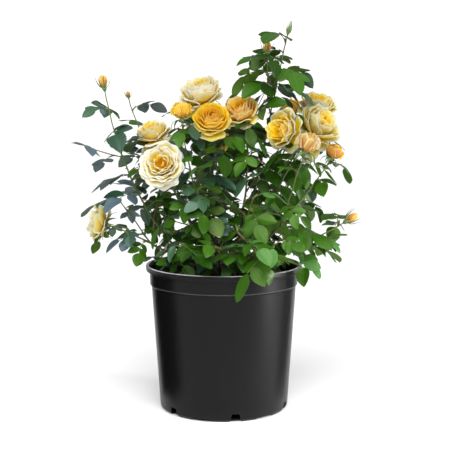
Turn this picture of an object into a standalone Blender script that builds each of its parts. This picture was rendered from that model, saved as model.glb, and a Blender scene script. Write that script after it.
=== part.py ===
"""A yellow shrub rose in flower, in its black nursery pot.  Metres, +Z up, origin under the pot."""
import math
import random
from collections import namedtuple

import bmesh
import bpy
from mathutils import Matrix, Vector
from mathutils.bvhtree import BVHTree

# ---- driving sizes
GAP = 0.0003                 # between pieces that touch

POT_HEIGHT = 0.260
LIP_RADIUS = 0.1397
LIP_DEPTH = 0.010
COLLAR_RADIUS = 0.1322
COLLAR_DEPTH = 0.035
STEP_DEPTH = 0.0020          # height of the step from the wall out to the collar
STEP_INSIDE = 0.0012
LIP_ROUND = 0.0010
LIP_THROAT = 0.0038          # how far the collar's inside widens to the lip's top
SHOULDER_RADIUS = 0.1296     # top of the plain wall, just under the collar
FOOT_RADIUS = 0.1155
FOOT_ROUND = 0.0040
WALL = 0.0018
FLOOR = 0.0035
FLOOR_ROUND = 0.0030
POT_SIDES = 36
DRAIN_COUNT = 6
DRAIN_TURN = 280.4           # the notch nearest the front, in degrees from +X
NOTCH_HEIGHT = 0.0145
NOTCH_WIDTH_LOW = 0.021
NOTCH_WIDTH_HIGH = 0.013
SLOT_HEIGHT = 0.0042
SLOT_WIDTH = 0.038
DRAIN_INNER_RADIUS = 0.106

SOIL_EDGE = 0.2320           # height of the potting mix at the wall
SOIL_MOUND = 0.2350          # and round the crown

CROWN_RADIUS = 0.021         # the woody knob that every cane springs from
CROWN_HEIGHT = 0.026
CROWN_SKIRT = 0.005

CANE_RADIUS = 0.0038         # a flowering cane where it leaves the crown
LEAFY_RADIUS = 0.0028        # a leafy shoot where it leaves the crown
SIDE_RADIUS = 0.0022         # a shoot where it leaves another
TIP_RADIUS = 0.0012
CANE_STEP = 0.020            # length of one straight piece of a cane
SHOOT_STEP = 0.030

LEAF_WIDTH = 0.33            # half the width of a leaflet, in its own lengths
LEAF_THICKNESS = 0.0010
LEAF_SAG = 0.10              # how far a leaflet's tip hangs, in its own lengths
STALK_SHARE = 0.56           # of a leaf's length is stalk
STALK_RADIUS = 0.0008
STALK_RISE = (15, 42)        # degrees: how far a stalk leans up its stem where it leaves
STALK_FALL = (14, 52)        # and how far below the level its tip points
LEAF_ROLL = 32               # the most that a leaf turns about its own stalk
PAIR_SWING = (54, 66)        # degrees between the stalk and the leaflets in pairs
PAIR_SINK = 26               # the most that they hang
TIP_SINK = (-4, 20)
PAIR_SPOTS = {2: ((0.42, 0.34), (0.73, 0.42)), 1: ((0.58, 0.40),)}   # share of the stalk, leaflet's length
TIP_LENGTH = 0.50            # both lengths in leaf lengths
ROOT_SHARE = 0.022           # half the length of a leaflet's root along the stalk, in stalks
LEAF_TRIES = 9               # ways that a leaf is tried before it is left out
LEAF_WOBBLE = 14             # degrees that each try strays from the leaf's turn, to begin with
STEM_CLEAR = 0.0008          # room that every stem keeps to itself
STALK_CLEAR = 0.0007
BLADE_CLEAR = 0.0012
POT_CLEAR = 0.001

PLANT_LEFT = -0.270
PLANT_RIGHT = 0.252
PLANT_DEEP = 0.232           # reach to the front and to the back
PLANT_TOP = 0.694
PLANT_LOW = 0.215            # the lowest that a leaf hangs outside the lip

Shoot = namedtuple("Shoot", ("name", "host", "start", "leave", "tip", "arrive", "split", "end", "size",
                             "leaves", "span", "leaf", "turn", "step", "droop"))


def shoot(name, host, start, leave, tip, arrive, split=0.0, end="leaf", size=0.0, leaves=5,
          span=(0.1, 0.85), leaf=0.095, turn=0, step=144, droop=1.0):
    """One shoot of the plan.

    host and start: "crown" with the foot's (turn, lift) in degrees, or a shoot with the share along it.
    leave and arrive: (turn, lift, pull) of the course where it starts and where it ends, at tip.
    split: share of a crown shoot that is bare cane.  end and size: what it carries, and its radius.
    leaves, span, leaf: how many leaves, between which shares, and their length.
    turn, step: which way the first leaf points, and the turn from each leaf to the next.
    """
    return Shoot(name, host, start, leave, Vector(tip), arrive, split, end, size, leaves, span, leaf, turn,
                 step, droop)


PLAN = [
    # left side
    shoot("far_left", "crown", (170, 4), (178, 26, 1.0), (-0.2110, 0.000, 0.576), (172, 80, 1.0),
          split=0.40, end="bud", size=0.0085, leaves=6, span=(0.04, 0.80), leaf=0.098, turn=20, step=158,
          droop=0.5),
    shoot("left_low", "crown", (202, 4), (195, 24, 0.9), (-0.2120, -0.030, 0.335), (182, 10, 0.6),
          split=0.55, end="bloom", size=0.032, leaves=3, span=(0.05, 0.80), leaf=0.085, turn=260),
    shoot("left_low_leafy", "left_low", 0.52, (150, 40, 0.6), (-0.198, 0.010, 0.382), (175, 30, 0.5),
          leaves=3, span=(0.25, 0.95), leaf=0.092, turn=200),
    shoot("left_front", "crown", (215, 38), (215, 52, 0.9), (-0.1040, -0.074, 0.440), (262, 25, 0.5),
          split=0.45, end="bloom", size=0.037, leaves=3, span=(0.02, 0.80), leaf=0.095, turn=210),
    shoot("left_back", "crown", (168, 38), (165, 55, 0.9), (-0.1260, 0.030, 0.484), (230, 70, 0.7),
          split=0.45, end="bloom", size=0.032, leaves=3, span=(0.02, 0.85), leaf=0.090, turn=60),
    shoot("left_bud", "left_back", 0.34, (118, 48, 0.9), (-0.1738, 0.064, 0.557), (170, 80, 0.8),
          end="bud", size=0.0045, leaves=4, span=(0.22, 0.88), leaf=0.088, turn=330, droop=0.6),
    shoot("rim_left", "left_low", 0.16, (215, 10, 0.8), (-0.110, -0.055, 0.278), (200, 10, 0.7),
          leaves=3, span=(0.25, 0.98), leaf=0.085, turn=180),
    # middle
    shoot("mid_left", "crown", (255, 38), (215, 66, 0.9), (-0.0726, -0.030, 0.523), (120, 84, 0.9),
          split=0.36, end="half", size=0.016, leaves=4, span=(0.02, 0.88), leaf=0.100, turn=250),
    shoot("middle", "crown", (290, 38), (265, 72, 0.9), (-0.0200, -0.042, 0.512), (268, 42, 0.5),
          split=0.30, end="bloom", size=0.033, leaves=5, span=(0.02, 0.90), leaf=0.108, turn=300),
    shoot("middle_back", "crown", (125, 38), (130, 75, 0.9), (-0.0380, 0.036, 0.553), (240, 66, 0.8),
          split=0.40, end="bloom", size=0.040, leaves=4, span=(0.05, 0.88), leaf=0.100, turn=100),
    shoot("mid_right", "crown", (325, 38), (315, 66, 0.9), (0.0330, 0.000, 0.524), (240, 50, 0.7),
          split=0.50, end="bloom", size=0.032, leaves=3, span=(0.05, 0.85), leaf=0.105, turn=340),
    # right side
    shoot("tall", "crown", (40, 38), (10, 68, 1.0), (0.1148, 0.030, 0.672), (10, 76, 1.0),
          split=0.38, end="tight", size=0.0055, leaves=9, span=(0.12, 0.92), leaf=0.112, turn=200, step=137,
          droop=0.8),
    shoot("tall_side", "tall", 0.66, (190, 70, 0.6), (0.0769, 0.000, 0.637), (120, 85, 0.6),
          end="bud", size=0.0075, leaves=4, span=(0.20, 0.84), leaf=0.098, turn=220, droop=0.8),
    shoot("right_upper", "crown", (0, 38), (350, 58, 1.0), (0.1600, -0.020, 0.500), (318, 40, 0.5),
          split=0.45, end="bloom", size=0.039, leaves=3, span=(0.02, 0.85), leaf=0.100, turn=80),
    shoot("right_back", "right_upper", 0.42, (60, 60, 0.6), (0.1700, 0.060, 0.533), (300, 68, 0.6),
          end="bloom", size=0.035, leaves=3, span=(0.25, 0.85), leaf=0.095, turn=10),
    shoot("right_inner", "tall", 0.30, (30, 50, 0.9), (0.1260, 0.085, 0.525), (170, 50, 0.6),
          end="bloom", size=0.026, leaves=3, span=(0.15, 0.88), leaf=0.100, turn=60),
    shoot("right_face", "mid_right", 0.47, (330, 60, 0.6), (0.1120, -0.048, 0.500), (215, 8, 0.4),
          end="bloom", size=0.036, leaves=2, span=(0.20, 0.80), leaf=0.100, turn=300),
    shoot("right_outer", "crown", (325, 4), (335, 42, 0.9), (0.1900, -0.036, 0.455), (340, 60, 0.7),
          split=0.45, end="half", size=0.0135, leaves=4, span=(0.02, 0.85), leaf=0.100, turn=330),
    shoot("right_half", "right_outer", 0.43, (300, 65, 0.6), (0.1400, -0.085, 0.470), (330, 70, 0.6),
          end="half", size=0.0175, leaves=2, span=(0.15, 0.85), leaf=0.100, turn=200),
    shoot("right_low", "crown", (357, 4), (350, 20, 0.9), (0.2220, 0.000, 0.338), (0, 32, 0.8),
          split=0.50, end="bud", size=0.0090, leaves=3, span=(0.05, 0.80), leaf=0.095, turn=280),
    shoot("right_sprawl", "right_low", 0.47, (330, 10, 0.6), (0.1700, -0.050, 0.300), (345, -10, 0.6),
          leaves=4, span=(0.15, 0.98), leaf=0.105, turn=250),
    # low leafy shoots in front
    shoot("front_left", "left_front", 0.14, (235, 30, 0.8), (-0.075, -0.095, 0.310), (225, 20, 0.7),
          leaves=4, span=(0.15, 0.98), leaf=0.105, turn=200),
    shoot("front_centre", "crown", (256, 4), (262, 40, 0.8), (-0.004, -0.122, 0.303), (268, 5, 0.7),
          split=0.30, leaves=5, span=(0.05, 0.98), leaf=0.110, turn=250, droop=1.2),
    shoot("front_right", "crown", (292, 4), (295, 35, 0.8), (0.070, -0.124, 0.292), (300, 0, 0.7),
          split=0.30, leaves=5, span=(0.05, 0.98), leaf=0.115, turn=290, droop=1.2),
    shoot("inner_front", "mid_right", 0.16, (290, 50, 0.8), (0.050, -0.085, 0.385), (285, 50, 0.7),
          leaves=5, span=(0.15, 0.98), leaf=0.115, turn=270),
    shoot("inner_left", "mid_left", 0.16, (235, 50, 0.8), (-0.045, -0.080, 0.400), (230, 60, 0.7),
          leaves=4, span=(0.15, 0.98), leaf=0.105, turn=260),
    # back
    shoot("back_left", "crown", (134, 4), (130, 40, 0.9), (-0.110, 0.135, 0.440), (125, 60, 0.7),
          split=0.40, end="bloom", size=0.038, leaves=4, span=(0.02, 0.88), leaf=0.105, turn=90),
    shoot("back_centre", "crown", (84, 38), (90, 60, 0.9), (0.000, 0.150, 0.475), (90, 50, 0.7),
          split=0.40, end="bloom", size=0.038, leaves=4, span=(0.02, 0.88), leaf=0.105, turn=30),
    shoot("back_right", "crown", (48, 4), (55, 40, 0.9), (0.125, 0.135, 0.405), (50, 55, 0.7),
          split=0.40, end="half", size=0.017, leaves=4, span=(0.02, 0.88), leaf=0.105, turn=100),
    shoot("back_low", "crown", (92, 4), (95, 25, 0.9), (-0.02, 0.150, 0.310), (90, 20, 0.7),
          split=0.35, leaves=4, span=(0.02, 0.98), leaf=0.105, turn=60),
    shoot("back_low_right", "back_right", 0.16, (20, 20, 0.9), (0.135, 0.075, 0.320), (30, 20, 0.7),
          leaves=4, span=(0.15, 0.98), leaf=0.105, turn=20),
    shoot("back_low_left", "back_left", 0.16, (165, 20, 0.9), (-0.130, 0.080, 0.330), (150, 20, 0.7),
          leaves=4, span=(0.15, 0.98), leaf=0.105, turn=150),
]


# ---- the courses that the canes and shoots follow
def heading(turn, lift):
    """Unit vector from a turn about the plant and a lift above the level, in degrees."""
    turn = math.radians(turn)
    lift = math.radians(lift)
    return Vector((math.cos(lift) * math.cos(turn), math.cos(lift) * math.sin(turn), math.sin(lift)))


def bend(start, leave, end, arrive, t):
    """Point at share t of the smooth curve that leaves start along leave and reaches end along arrive."""
    from_start = 2 * t ** 3 - 3 * t ** 2 + 1
    from_leave = t ** 3 - 2 * t ** 2 + t
    from_arrive = t ** 3 - t ** 2
    return start * from_start + leave * from_leave + end * (1 - from_start) + arrive * from_arrive


def basis(forward, up):
    """Turning whose X is forward and whose Z leans as near to up as it can."""
    x = forward.normalized()
    z = (up - x * up.dot(x)).normalized()
    return Matrix((x, z.cross(x), z)).transposed()


class Course:
    """Middle line and radius of one shoot, from its foot to the base of its flower."""

    def __init__(self, start, foot_normal, leave, end, arrive, foot_radius):
        self.start = start
        self.foot_normal = foot_normal
        self.leave = leave
        self.end = end
        self.arrive = arrive
        self.foot_radius = foot_radius
        self.length = sum((self.point(k / 20) - self.point(k / 20 + 0.05)).length for k in range(20))

    def point(self, t):
        return bend(self.start, self.leave, self.end, self.arrive, t)

    def along(self, t):
        return (self.point(min(t + 0.01, 1.0)) - self.point(max(t - 0.01, 0.0))).normalized()

    def radius(self, t):
        return TIP_RADIUS + (self.foot_radius - TIP_RADIUS) * (1 - t) ** 1.5


def plot_courses(plan):
    courses = {}
    for plot in plan:
        if plot.host == "crown":
            out = heading(*plot.start)
            start = Vector((out.x * CROWN_RADIUS, out.y * CROWN_RADIUS, out.z * CROWN_HEIGHT))
            normal = Vector((out.x / CROWN_RADIUS, out.y / CROWN_RADIUS, out.z / CROWN_HEIGHT)).normalized()
            start = start + normal * GAP + Vector((0, 0, SOIL_MOUND + CROWN_SKIRT))
            foot_radius = LEAFY_RADIUS if plot.end == "leaf" else CANE_RADIUS
        else:
            host = courses[plot.host]
            along = host.along(plot.start)
            normal = heading(plot.leave[0], 0)
            normal = (normal - along * normal.dot(along)).normalized()
            start = host.point(plot.start) + normal * (host.radius(plot.start) + GAP)
            foot_radius = min(SIDE_RADIUS, host.radius(plot.start) * 0.9)
        chord = (plot.tip - start).length
        leave = heading(plot.leave[0], plot.leave[1]) * chord * plot.leave[2]
        arrive = heading(plot.arrive[0], plot.arrive[1]) * chord * plot.arrive[2]
        courses[plot.name] = Course(start, normal, leave, plot.tip, arrive, foot_radius)
    return courses


# ---- closed shapes, each as (corners, faces)
def tube(points, radii, sides, foot_normal=None):
    """Tapering limb along points.  Its foot is cut square to foot_normal."""
    corners = []
    faces = []
    side_way = Vector((0.31, 0.17, 0.93))
    for place, point in enumerate(points):
        ahead = points[min(place + 1, len(points) - 1)] - points[max(place - 1, 0)]
        if place == 0 and foot_normal:
            ahead = foot_normal
        frame = basis(ahead, side_way if abs(ahead.normalized().dot(side_way)) < 0.97 else Vector((1, 0, 0)))
        for side in range(sides):
            angle = math.tau * side / sides
            corners.append(point + frame @ Vector((0, math.cos(angle), math.sin(angle))) * radii[place])
    for place in range(len(points) - 1):
        for side in range(sides):
            here = place * sides + side
            beside = place * sides + (side + 1) % sides
            faces.append((here, beside, beside + sides, here + sides))
    faces.append(tuple(reversed(range(sides))))
    faces.append(tuple(range(len(corners) - sides, len(corners))))
    return corners, faces


def leaflet_space(place, frame, length):
    """The flat oval that a leaflet keeps to itself, a little larger than the leaflet."""
    top = []
    bottom = []
    for share, wide in ((0.05, 0.20), (0.20, 0.84), (0.45, 1.04), (0.75, 0.78), (1.02, 0.06)):
        for side in (1, -1):
            flat = Vector((share, LEAF_WIDTH * wide * side, -LEAF_SAG * share ** 2)) * length
            top.append(place + frame @ (flat + Vector((0, 0, BLADE_CLEAR))))
            bottom.append(place + frame @ (flat - Vector((0, 0, BLADE_CLEAR))))
    count = len(top)
    faces = [(0, 1, count + 1, count), (count - 2, 2 * count - 2, 2 * count - 1, count - 1)]
    for left in range(0, count - 2, 2):
        faces.append((left, left + 2, left + 3, left + 1))
        faces.append((count + left, count + left + 1, count + left + 3, count + left + 2))
        faces.append((left, count + left, count + left + 2, left + 2))
        faces.append((left + 1, left + 3, count + left + 3, count + left + 1))
    return top + bottom, faces


def leaflet_blade(place, frame, length):
    """A leaflet's blade clear of its own root, as a flat kite with an upper and an under face."""
    corners = []
    for level in (LEAF_THICKNESS, -LEAF_THICKNESS):
        for x, y in ((0.06, 0), (0.42, 0.34), (1.0, 0), (0.42, -0.34)):
            flat = Vector((length * x, length * y, level - LEAF_SAG * length * x * x))
            corners.append(place + frame @ flat)
    return corners, [(0, 1, 3), (1, 2, 3), (4, 5, 7), (5, 6, 7)]


FLOWER_ROWS = {
    # (distance along the flower's axis, radius), both in its own radii
    "bloom": ((-0.22, 0.09), (-0.10, 0.15), (0.08, 0.30), (0.26, 0.84), (0.42, 1.00), (0.70, 0.90),
              (0.98, 0.62), (1.08, 0.24)),
    "half": ((-0.45, 0.16), (-0.22, 0.34), (0.15, 0.80), (0.80, 1.00), (1.50, 0.92), (1.90, 0.50)),
    "bud": ((-0.80, 0.22), (-0.45, 0.52), (0.10, 0.95), (0.70, 1.00), (1.60, 0.62), (2.30, 0.10)),
    "tight": ((-0.80, 0.22), (-0.45, 0.56), (0.10, 0.95), (0.70, 0.90), (1.70, 0.42), (3.60, 0.06)),
}
FLOWER_RUFFLE = {"bloom": 0.07, "half": 0.04, "bud": 0.0, "tight": 0.0}


def flower_body(course, kind, size, sides):
    """A flower or bud as one ruffled, turned form along the last direction of its stem."""
    frame = basis(course.arrive, Vector((0.2, 0.1, 0.97)))
    rows = FLOWER_ROWS[kind]
    corners = []
    faces = []
    for row, (far, wide) in enumerate(rows):
        for side in range(sides):
            angle = math.tau * (side + 0.5 * (row % 2)) / sides
            ruffle = 1 + FLOWER_RUFFLE[kind] * math.sin(angle * 5 + row * 1.7)
            spoke = Vector((0, math.cos(angle), math.sin(angle))) * wide * ruffle
            corners.append(course.end + frame @ (Vector((far, 0, 0)) + spoke) * size)
    for row in range(len(rows) - 1):
        for side in range(sides):
            here = row * sides + side
            beside = row * sides + (side + 1) % sides
            faces.append((here, beside, beside + sides, here + sides))
    faces.append(tuple(reversed(range(sides))))
    faces.append(tuple(range(len(corners) - sides, len(corners))))
    return corners, faces


def lathe(rows, sides=POT_SIDES):
    """Solid turned about Z from (radius, height) rows that start and end on the axis."""
    corners = []
    faces = []
    for radius, height in rows:
        for side in range(sides):
            angle = math.tau * side / sides
            corners.append(Vector((radius * math.cos(angle), radius * math.sin(angle), height)))
    for row in range(len(rows) - 1):
        for side in range(sides):
            here = row * sides + side
            beside = row * sides + (side + 1) % sides
            faces.append((here, beside, beside + sides, here + sides))
    faces.append(tuple(reversed(range(sides))))
    faces.append(tuple(range(len(corners) - sides, len(corners))))
    return corners, faces


# ---- the rule by which leaves grow
class Leaf:
    """A rose leaf: a stalk that rises from its stem and arches over, leaflets in pairs and one at the tip."""

    def __init__(self, course, t, turn, size, pairs, droop, draw):
        along = course.along(t)
        out = heading(turn, 0)
        out = out - along * out.dot(along)
        if out.length < 0.2:
            out = along.orthogonal()
        out.normalize()
        rise = math.radians(draw.uniform(*STALK_RISE))
        fall = math.radians(draw.uniform(*STALK_FALL)) * droop
        self.roll = Matrix.Rotation(math.radians(draw.uniform(-LEAF_ROLL, LEAF_ROLL)), 3, "X")
        leave = out * math.cos(rise) + along * math.sin(rise)
        level = Vector((out.x, out.y, max(out.z, -0.2) * 0.4))
        if level.length < 0.3:
            level = out.copy()
        arrive = level.normalized() * math.cos(fall) - Vector((0, 0, math.sin(fall)))
        stalk = size * STALK_SHARE
        self.start = course.point(t)
        self.end = self.start + (leave + arrive).normalized() * (stalk + course.radius(t))
        self.leave = leave * stalk * 1.1
        self.arrive = arrive * stalk * 1.1
        self.spots = PAIR_SPOTS[pairs]
        self.leaflets = {}
        for side in (1, -1):
            sink = draw.uniform(0, PAIR_SINK) * droop
            for spot, (share, part) in enumerate(self.spots):
                swing = Matrix.Rotation(math.radians(draw.uniform(*PAIR_SWING)) * side, 3, "Z")
                tilt = Matrix.Rotation(math.radians(sink + draw.uniform(-3, 3)), 3, "Y")
                length = size * part * draw.uniform(0.92, 1.08)
                self.leaflets[(spot, side)] = (self.point(share), self.frame(share) @ swing @ tilt, length)
        tilt = Matrix.Rotation(math.radians(draw.uniform(*TIP_SINK)) * droop, 3, "Y")
        length = size * TIP_LENGTH * draw.uniform(0.94, 1.06)
        self.leaflets["tip"] = (self.end - arrive * 0.001, self.frame(1.0) @ tilt, length)

    def point(self, share):
        return bend(self.start, self.leave, self.end, self.arrive, share)

    def frame(self, share):
        along = self.point(share + 0.03) - self.point(share - 0.03)
        return basis(along, Vector((0, 0, 1))) @ self.roll

    def stalk_space(self, first, last=1.0):
        shares = [first + (last - first) * step / 4 for step in range(5)]
        return tube([self.point(share) for share in shares], [STALK_RADIUS + STALK_CLEAR] * 5, 3)


def standing_shapes(plan, courses):
    """Search trees of what no leaf may touch: the pot, the soil, the crown, every stem and every flower."""
    standing = [("pot", BVHTree.FromPolygons(*pot_space())), ("soil", BVHTree.FromPolygons(*soil_space()))]
    for plot in plan:
        course = courses[plot.name]
        shares = [step / 16 for step in range(17)]
        stem = tube([course.point(t) for t in shares], [course.radius(t) + STEM_CLEAR for t in shares], 6)
        standing.append((plot.name, BVHTree.FromPolygons(*stem)))
        if plot.end != "leaf":
            flower = flower_body(course, plot.end, plot.size * 1.03, 12)
            standing.append(("flower", BVHTree.FromPolygons(*flower)))
    return standing


def pot_space():
    """The pot's lip and wall with the room that leaves leave round them."""
    lip = LIP_RADIUS + POT_CLEAR
    collar = COLLAR_RADIUS + POT_CLEAR
    under_lip = POT_HEIGHT - LIP_DEPTH - POT_CLEAR
    return lathe(((COLLAR_RADIUS - 0.006, SOIL_EDGE), (COLLAR_RADIUS - 0.004, POT_HEIGHT + POT_CLEAR),
                  (lip, POT_HEIGHT + POT_CLEAR), (lip, under_lip), (collar, under_lip - 0.001),
                  (collar, POT_HEIGHT - COLLAR_DEPTH), (FOOT_RADIUS + POT_CLEAR, 0.0)), 32)


def soil_space():
    """The potting mix and the crown with the room that leaves leave above them."""
    return lathe(((LIP_RADIUS, SOIL_EDGE + POT_CLEAR), (CROWN_RADIUS, SOIL_MOUND + POT_CLEAR),
                  (CROWN_RADIUS, SOIL_MOUND + CROWN_SKIRT + POT_CLEAR),
                  (CROWN_RADIUS * 0.75, SOIL_MOUND + 0.022),
                  (0.002, SOIL_MOUND + CROWN_SKIRT + CROWN_HEIGHT)), 24)


def leaf_shape(leaf):
    """A whole leaf as one thin solid: a three-sided stalk whose flanks are drawn out into the leaflets."""
    rings = [(0.0, None)]
    for spot, (share, part) in enumerate(leaf.spots):
        rings.extend([(share - ROOT_SHARE, spot), (share + ROOT_SHARE, None)])
    rings.append((1.0, None))
    corners = []
    for share, spot in rings:
        frame = leaf.frame(share)
        for side, level in ((1, 0.7), (-1, 0.7), (0, -1)):
            corners.append(leaf.point(share) + frame @ Vector((0, side, level)) * STALK_RADIUS)
    faces = [(0, 1, 2)]
    for ring, (share, spot) in enumerate(rings[:-1]):
        near = 3 * ring
        far = near + 3
        faces.append((near, near + 1, far + 1, far))
        for side, top in ((1, 0), (-1, 1)):
            root = (near + top, far + top, far + 2, near + 2)
            if (spot, side) in leaf.leaflets:
                draw_out(corners, faces, root, leaf.leaflets[(spot, side)], side)
            else:
                faces.append(root)
    last = 3 * len(rings) - 3
    if "tip" in leaf.leaflets:
        draw_out(corners, faces, (last, last + 1, last + 2, last + 2), leaf.leaflets["tip"], 1)
    else:
        faces.append((last, last + 1, last + 2))
    return corners, faces


def draw_out(corners, faces, root, leaflet, side):
    """A leaflet drawn out of the four corners of its root: two shoulders, a tip and a thicker middle."""
    place, frame, length = leaflet
    half = max(LEAF_THICKNESS, length / 50) / 2
    first = len(corners)
    wide = 0.32 * side
    for x, y, z in ((0.42, wide, 0), (0.42, -wide, 0), (1.0, 0, 0), (0.40, 0, half), (0.40, 0, -half)):
        spot = Vector((length * x, length * y, z - LEAF_SAG * length * x * x))
        corners.append(place + frame @ spot)
    near, far, tip, upper, under = range(first, first + 5)
    near_top, far_top, far_low, near_low = root
    faces.extend([
        (near_top, far_top, upper), (far_top, far, upper), (far, tip, upper), (tip, near, upper),
        (near, near_top, upper), (far_low, under, far), (far, under, tip), (tip, under, near),
        (near, under, near_low), (near_top, near, near_low), (far_top, far_low, far),
    ])
    if near_low != far_low:
        faces.append((near_low, under, far_low))


def crosses_itself(corners, faces):
    tree = BVHTree.FromPolygons(corners, faces)
    return any(not set(faces[one]) & set(faces[other]) for one, other in tree.overlap(tree))


def within_reach(corners):
    """Whether a leaflet stays inside the plant's own reach."""
    for corner in corners:
        if not (PLANT_LEFT < corner.x < PLANT_RIGHT and abs(corner.y) < PLANT_DEEP):
            return False
        if not PLANT_LOW < corner.z < PLANT_TOP:
            return False
    return True


def grow_leaves(plan, courses):
    """Every shoot's leaves, set one after another where they touch nothing that already stands."""
    standing = standing_shapes(plan, courses)
    grown = {}
    for plot in plan:
        draw = random.Random(plot.name)
        course = courses[plot.name]
        grown[plot.name] = []
        turn = plot.turn
        for place in range(plot.leaves):
            share = plot.span[0] + (plot.span[1] - plot.span[0]) * place / (plot.leaves - 1)
            t = plot.split + (1 - plot.split) * share
            shrink = 0.15 * share if plot.end == "leaf" else 0.32 * share ** 2
            pairs = 2 if share < 0.85 or plot.end == "leaf" else 1
            best = None
            best_kept = {}
            for attempt in range(LEAF_TRIES):
                wobble = draw.uniform(-LEAF_WOBBLE, LEAF_WOBBLE) * (1 + attempt * 0.8)
                size = plot.leaf * (1 - shrink) * (1 - 0.03 * attempt)
                leaf = Leaf(course, t, turn + wobble, size, pairs, plot.droop, draw)
                stalk = BVHTree.FromPolygons(*leaf.stalk_space(0.1))
                if any(stalk.overlap(tree) for owner, tree in standing if owner != plot.name):
                    continue
                kept = {}
                blades = [BVHTree.FromPolygons(*leaf.stalk_space(0.0, 0.96))]
                for spot, leaflet in leaf.leaflets.items():
                    blade = BVHTree.FromPolygons(*leaflet_blade(*leaflet))
                    if any(blade.overlap(tree) for tree in blades):
                        continue
                    corners, faces = leaflet_space(*leaflet)
                    space = BVHTree.FromPolygons(corners, faces)
                    if within_reach(corners) and not any(space.overlap(tree) for owner, tree in standing):
                        kept[spot] = space
                        blades.append(blade)
                whole = len(kept) == len(leaf.leaflets)
                leaf.leaflets = {spot: leaf.leaflets[spot] for spot in kept}
                if len(kept) > len(best_kept) and not crosses_itself(*leaf_shape(leaf)):
                    best = leaf
                    best_kept = kept
                    if whole:
                        break
            turn += plot.step + draw.uniform(-8, 8)
            if len(best_kept) < 2:
                continue
            standing.append((plot.name, BVHTree.FromPolygons(*best.stalk_space(0.0))))
            standing.extend((plot.name + " leaf", space) for space in best_kept.values())
            grown[plot.name].append(best)
    return grown


# ---- from shapes to named objects
def clear_scene():
    for thing in list(bpy.data.objects):
        bpy.data.objects.remove(thing, do_unlink=True)


def finish(name, colour, roughness):
    """A plain Principled finish, named for its object."""
    material = bpy.data.materials.new(name + "_finish")
    material.use_nodes = True
    shader = material.node_tree.nodes["Principled BSDF"]
    shader.inputs["Base Color"].default_value = (*colour, 1.0)
    shader.inputs["Roughness"].default_value = roughness
    shader.inputs["Metallic"].default_value = 0.0
    return material


def make_object(name, shape):
    corners, faces = shape
    mesh = bpy.data.meshes.new(name)
    mesh.from_pydata([tuple(corner) for corner in corners], [], faces)
    made = bmesh.new()
    made.from_mesh(mesh)
    bmesh.ops.recalc_face_normals(made, faces=made.faces)
    made.to_mesh(mesh)
    made.free()
    thing = bpy.data.objects.new(name, mesh)
    bpy.context.scene.collection.objects.link(thing)
    return thing


def dress(thing, colour, roughness, smooth_angle):
    thing.data.materials.clear()
    thing.data.materials.append(finish(thing.name, colour, roughness))
    thing.data.shade_smooth()
    thing.data.set_sharp_from_angle(angle=math.radians(smooth_angle))
    return thing


def fuse(name, shapes):
    """One solid from overlapping closed shapes: the first takes in the others by one union."""
    base = make_object(name, shapes[0])
    others = bpy.data.collections.new(name + "_parts")
    bpy.context.scene.collection.children.link(others)
    for count, shape in enumerate(shapes[1:]):
        part = make_object(name + "_part_" + str(count), shape)
        bpy.context.scene.collection.objects.unlink(part)
        others.objects.link(part)
    union = base.modifiers.new("join", "BOOLEAN")
    union.operation = "UNION"
    union.operand_type = "COLLECTION"
    union.collection = others
    union.solver = "MANIFOLD"
    depsgraph = bpy.context.evaluated_depsgraph_get()
    joined = bpy.data.meshes.new_from_object(base.evaluated_get(depsgraph))
    base.modifiers.clear()
    base.data = joined
    for part in list(others.objects):
        bpy.data.objects.remove(part, do_unlink=True)
    bpy.data.collections.remove(others)
    keep_outer_body(base)
    return base


def keep_outer_body(thing):
    """Keeps the largest closed body, without scraps, flaps or sealed hollows."""
    made = bmesh.new()
    made.from_mesh(thing.data)
    bmesh.ops.triangulate(made, faces=made.faces)
    unseen = set(made.faces)
    bodies = []
    while unseen:
        front = [unseen.pop()]
        body = []
        while front:
            face = front.pop()
            body.append(face)
            for edge in face.edges:
                for beside in edge.link_faces:
                    if len(edge.link_faces) == 2 and beside in unseen:
                        unseen.discard(beside)
                        front.append(beside)
        bodies.append(body)
    bodies.sort(key=len)
    spare = [face for body in bodies[:-1] for face in body]
    bmesh.ops.delete(made, geom=spare, context="FACES")
    made.to_mesh(thing.data)
    made.free()


def build_pot():
    """Thin blow-moulded pot: rolled lip, deep collar, plain tapering wall and a foot with drain openings."""
    inner = COLLAR_RADIUS - WALL
    rows = (
        (0.0, 0.0), (FOOT_RADIUS - FOOT_ROUND, 0.0), (FOOT_RADIUS, FOOT_ROUND),
        (SHOULDER_RADIUS, POT_HEIGHT - COLLAR_DEPTH - STEP_DEPTH), (COLLAR_RADIUS, POT_HEIGHT - COLLAR_DEPTH),
        (COLLAR_RADIUS + 0.0006, POT_HEIGHT - LIP_DEPTH - 0.0008), (LIP_RADIUS, POT_HEIGHT - LIP_DEPTH),
        (LIP_RADIUS, POT_HEIGHT - LIP_ROUND), (LIP_RADIUS - LIP_ROUND, POT_HEIGHT),
        (inner + LIP_THROAT, POT_HEIGHT),
        (inner + 0.0004, POT_HEIGHT - LIP_DEPTH), (inner, POT_HEIGHT - COLLAR_DEPTH + STEP_INSIDE),
        (SHOULDER_RADIUS - WALL, POT_HEIGHT - COLLAR_DEPTH - STEP_DEPTH),
        (FOOT_RADIUS - WALL, FLOOR + FLOOR_ROUND), (FOOT_RADIUS - WALL - FLOOR_ROUND, FLOOR), (0.0, FLOOR),
    )
    pot = make_object("pot", trimmed_lathe(rows))
    cut = pot.modifiers.new("drains", "BOOLEAN")
    cut.operation = "DIFFERENCE"
    cut.object = build_drain_cutter()
    cut.solver = "EXACT"
    return dress(pot, (0.018, 0.018, 0.019), 0.38, 35)


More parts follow.
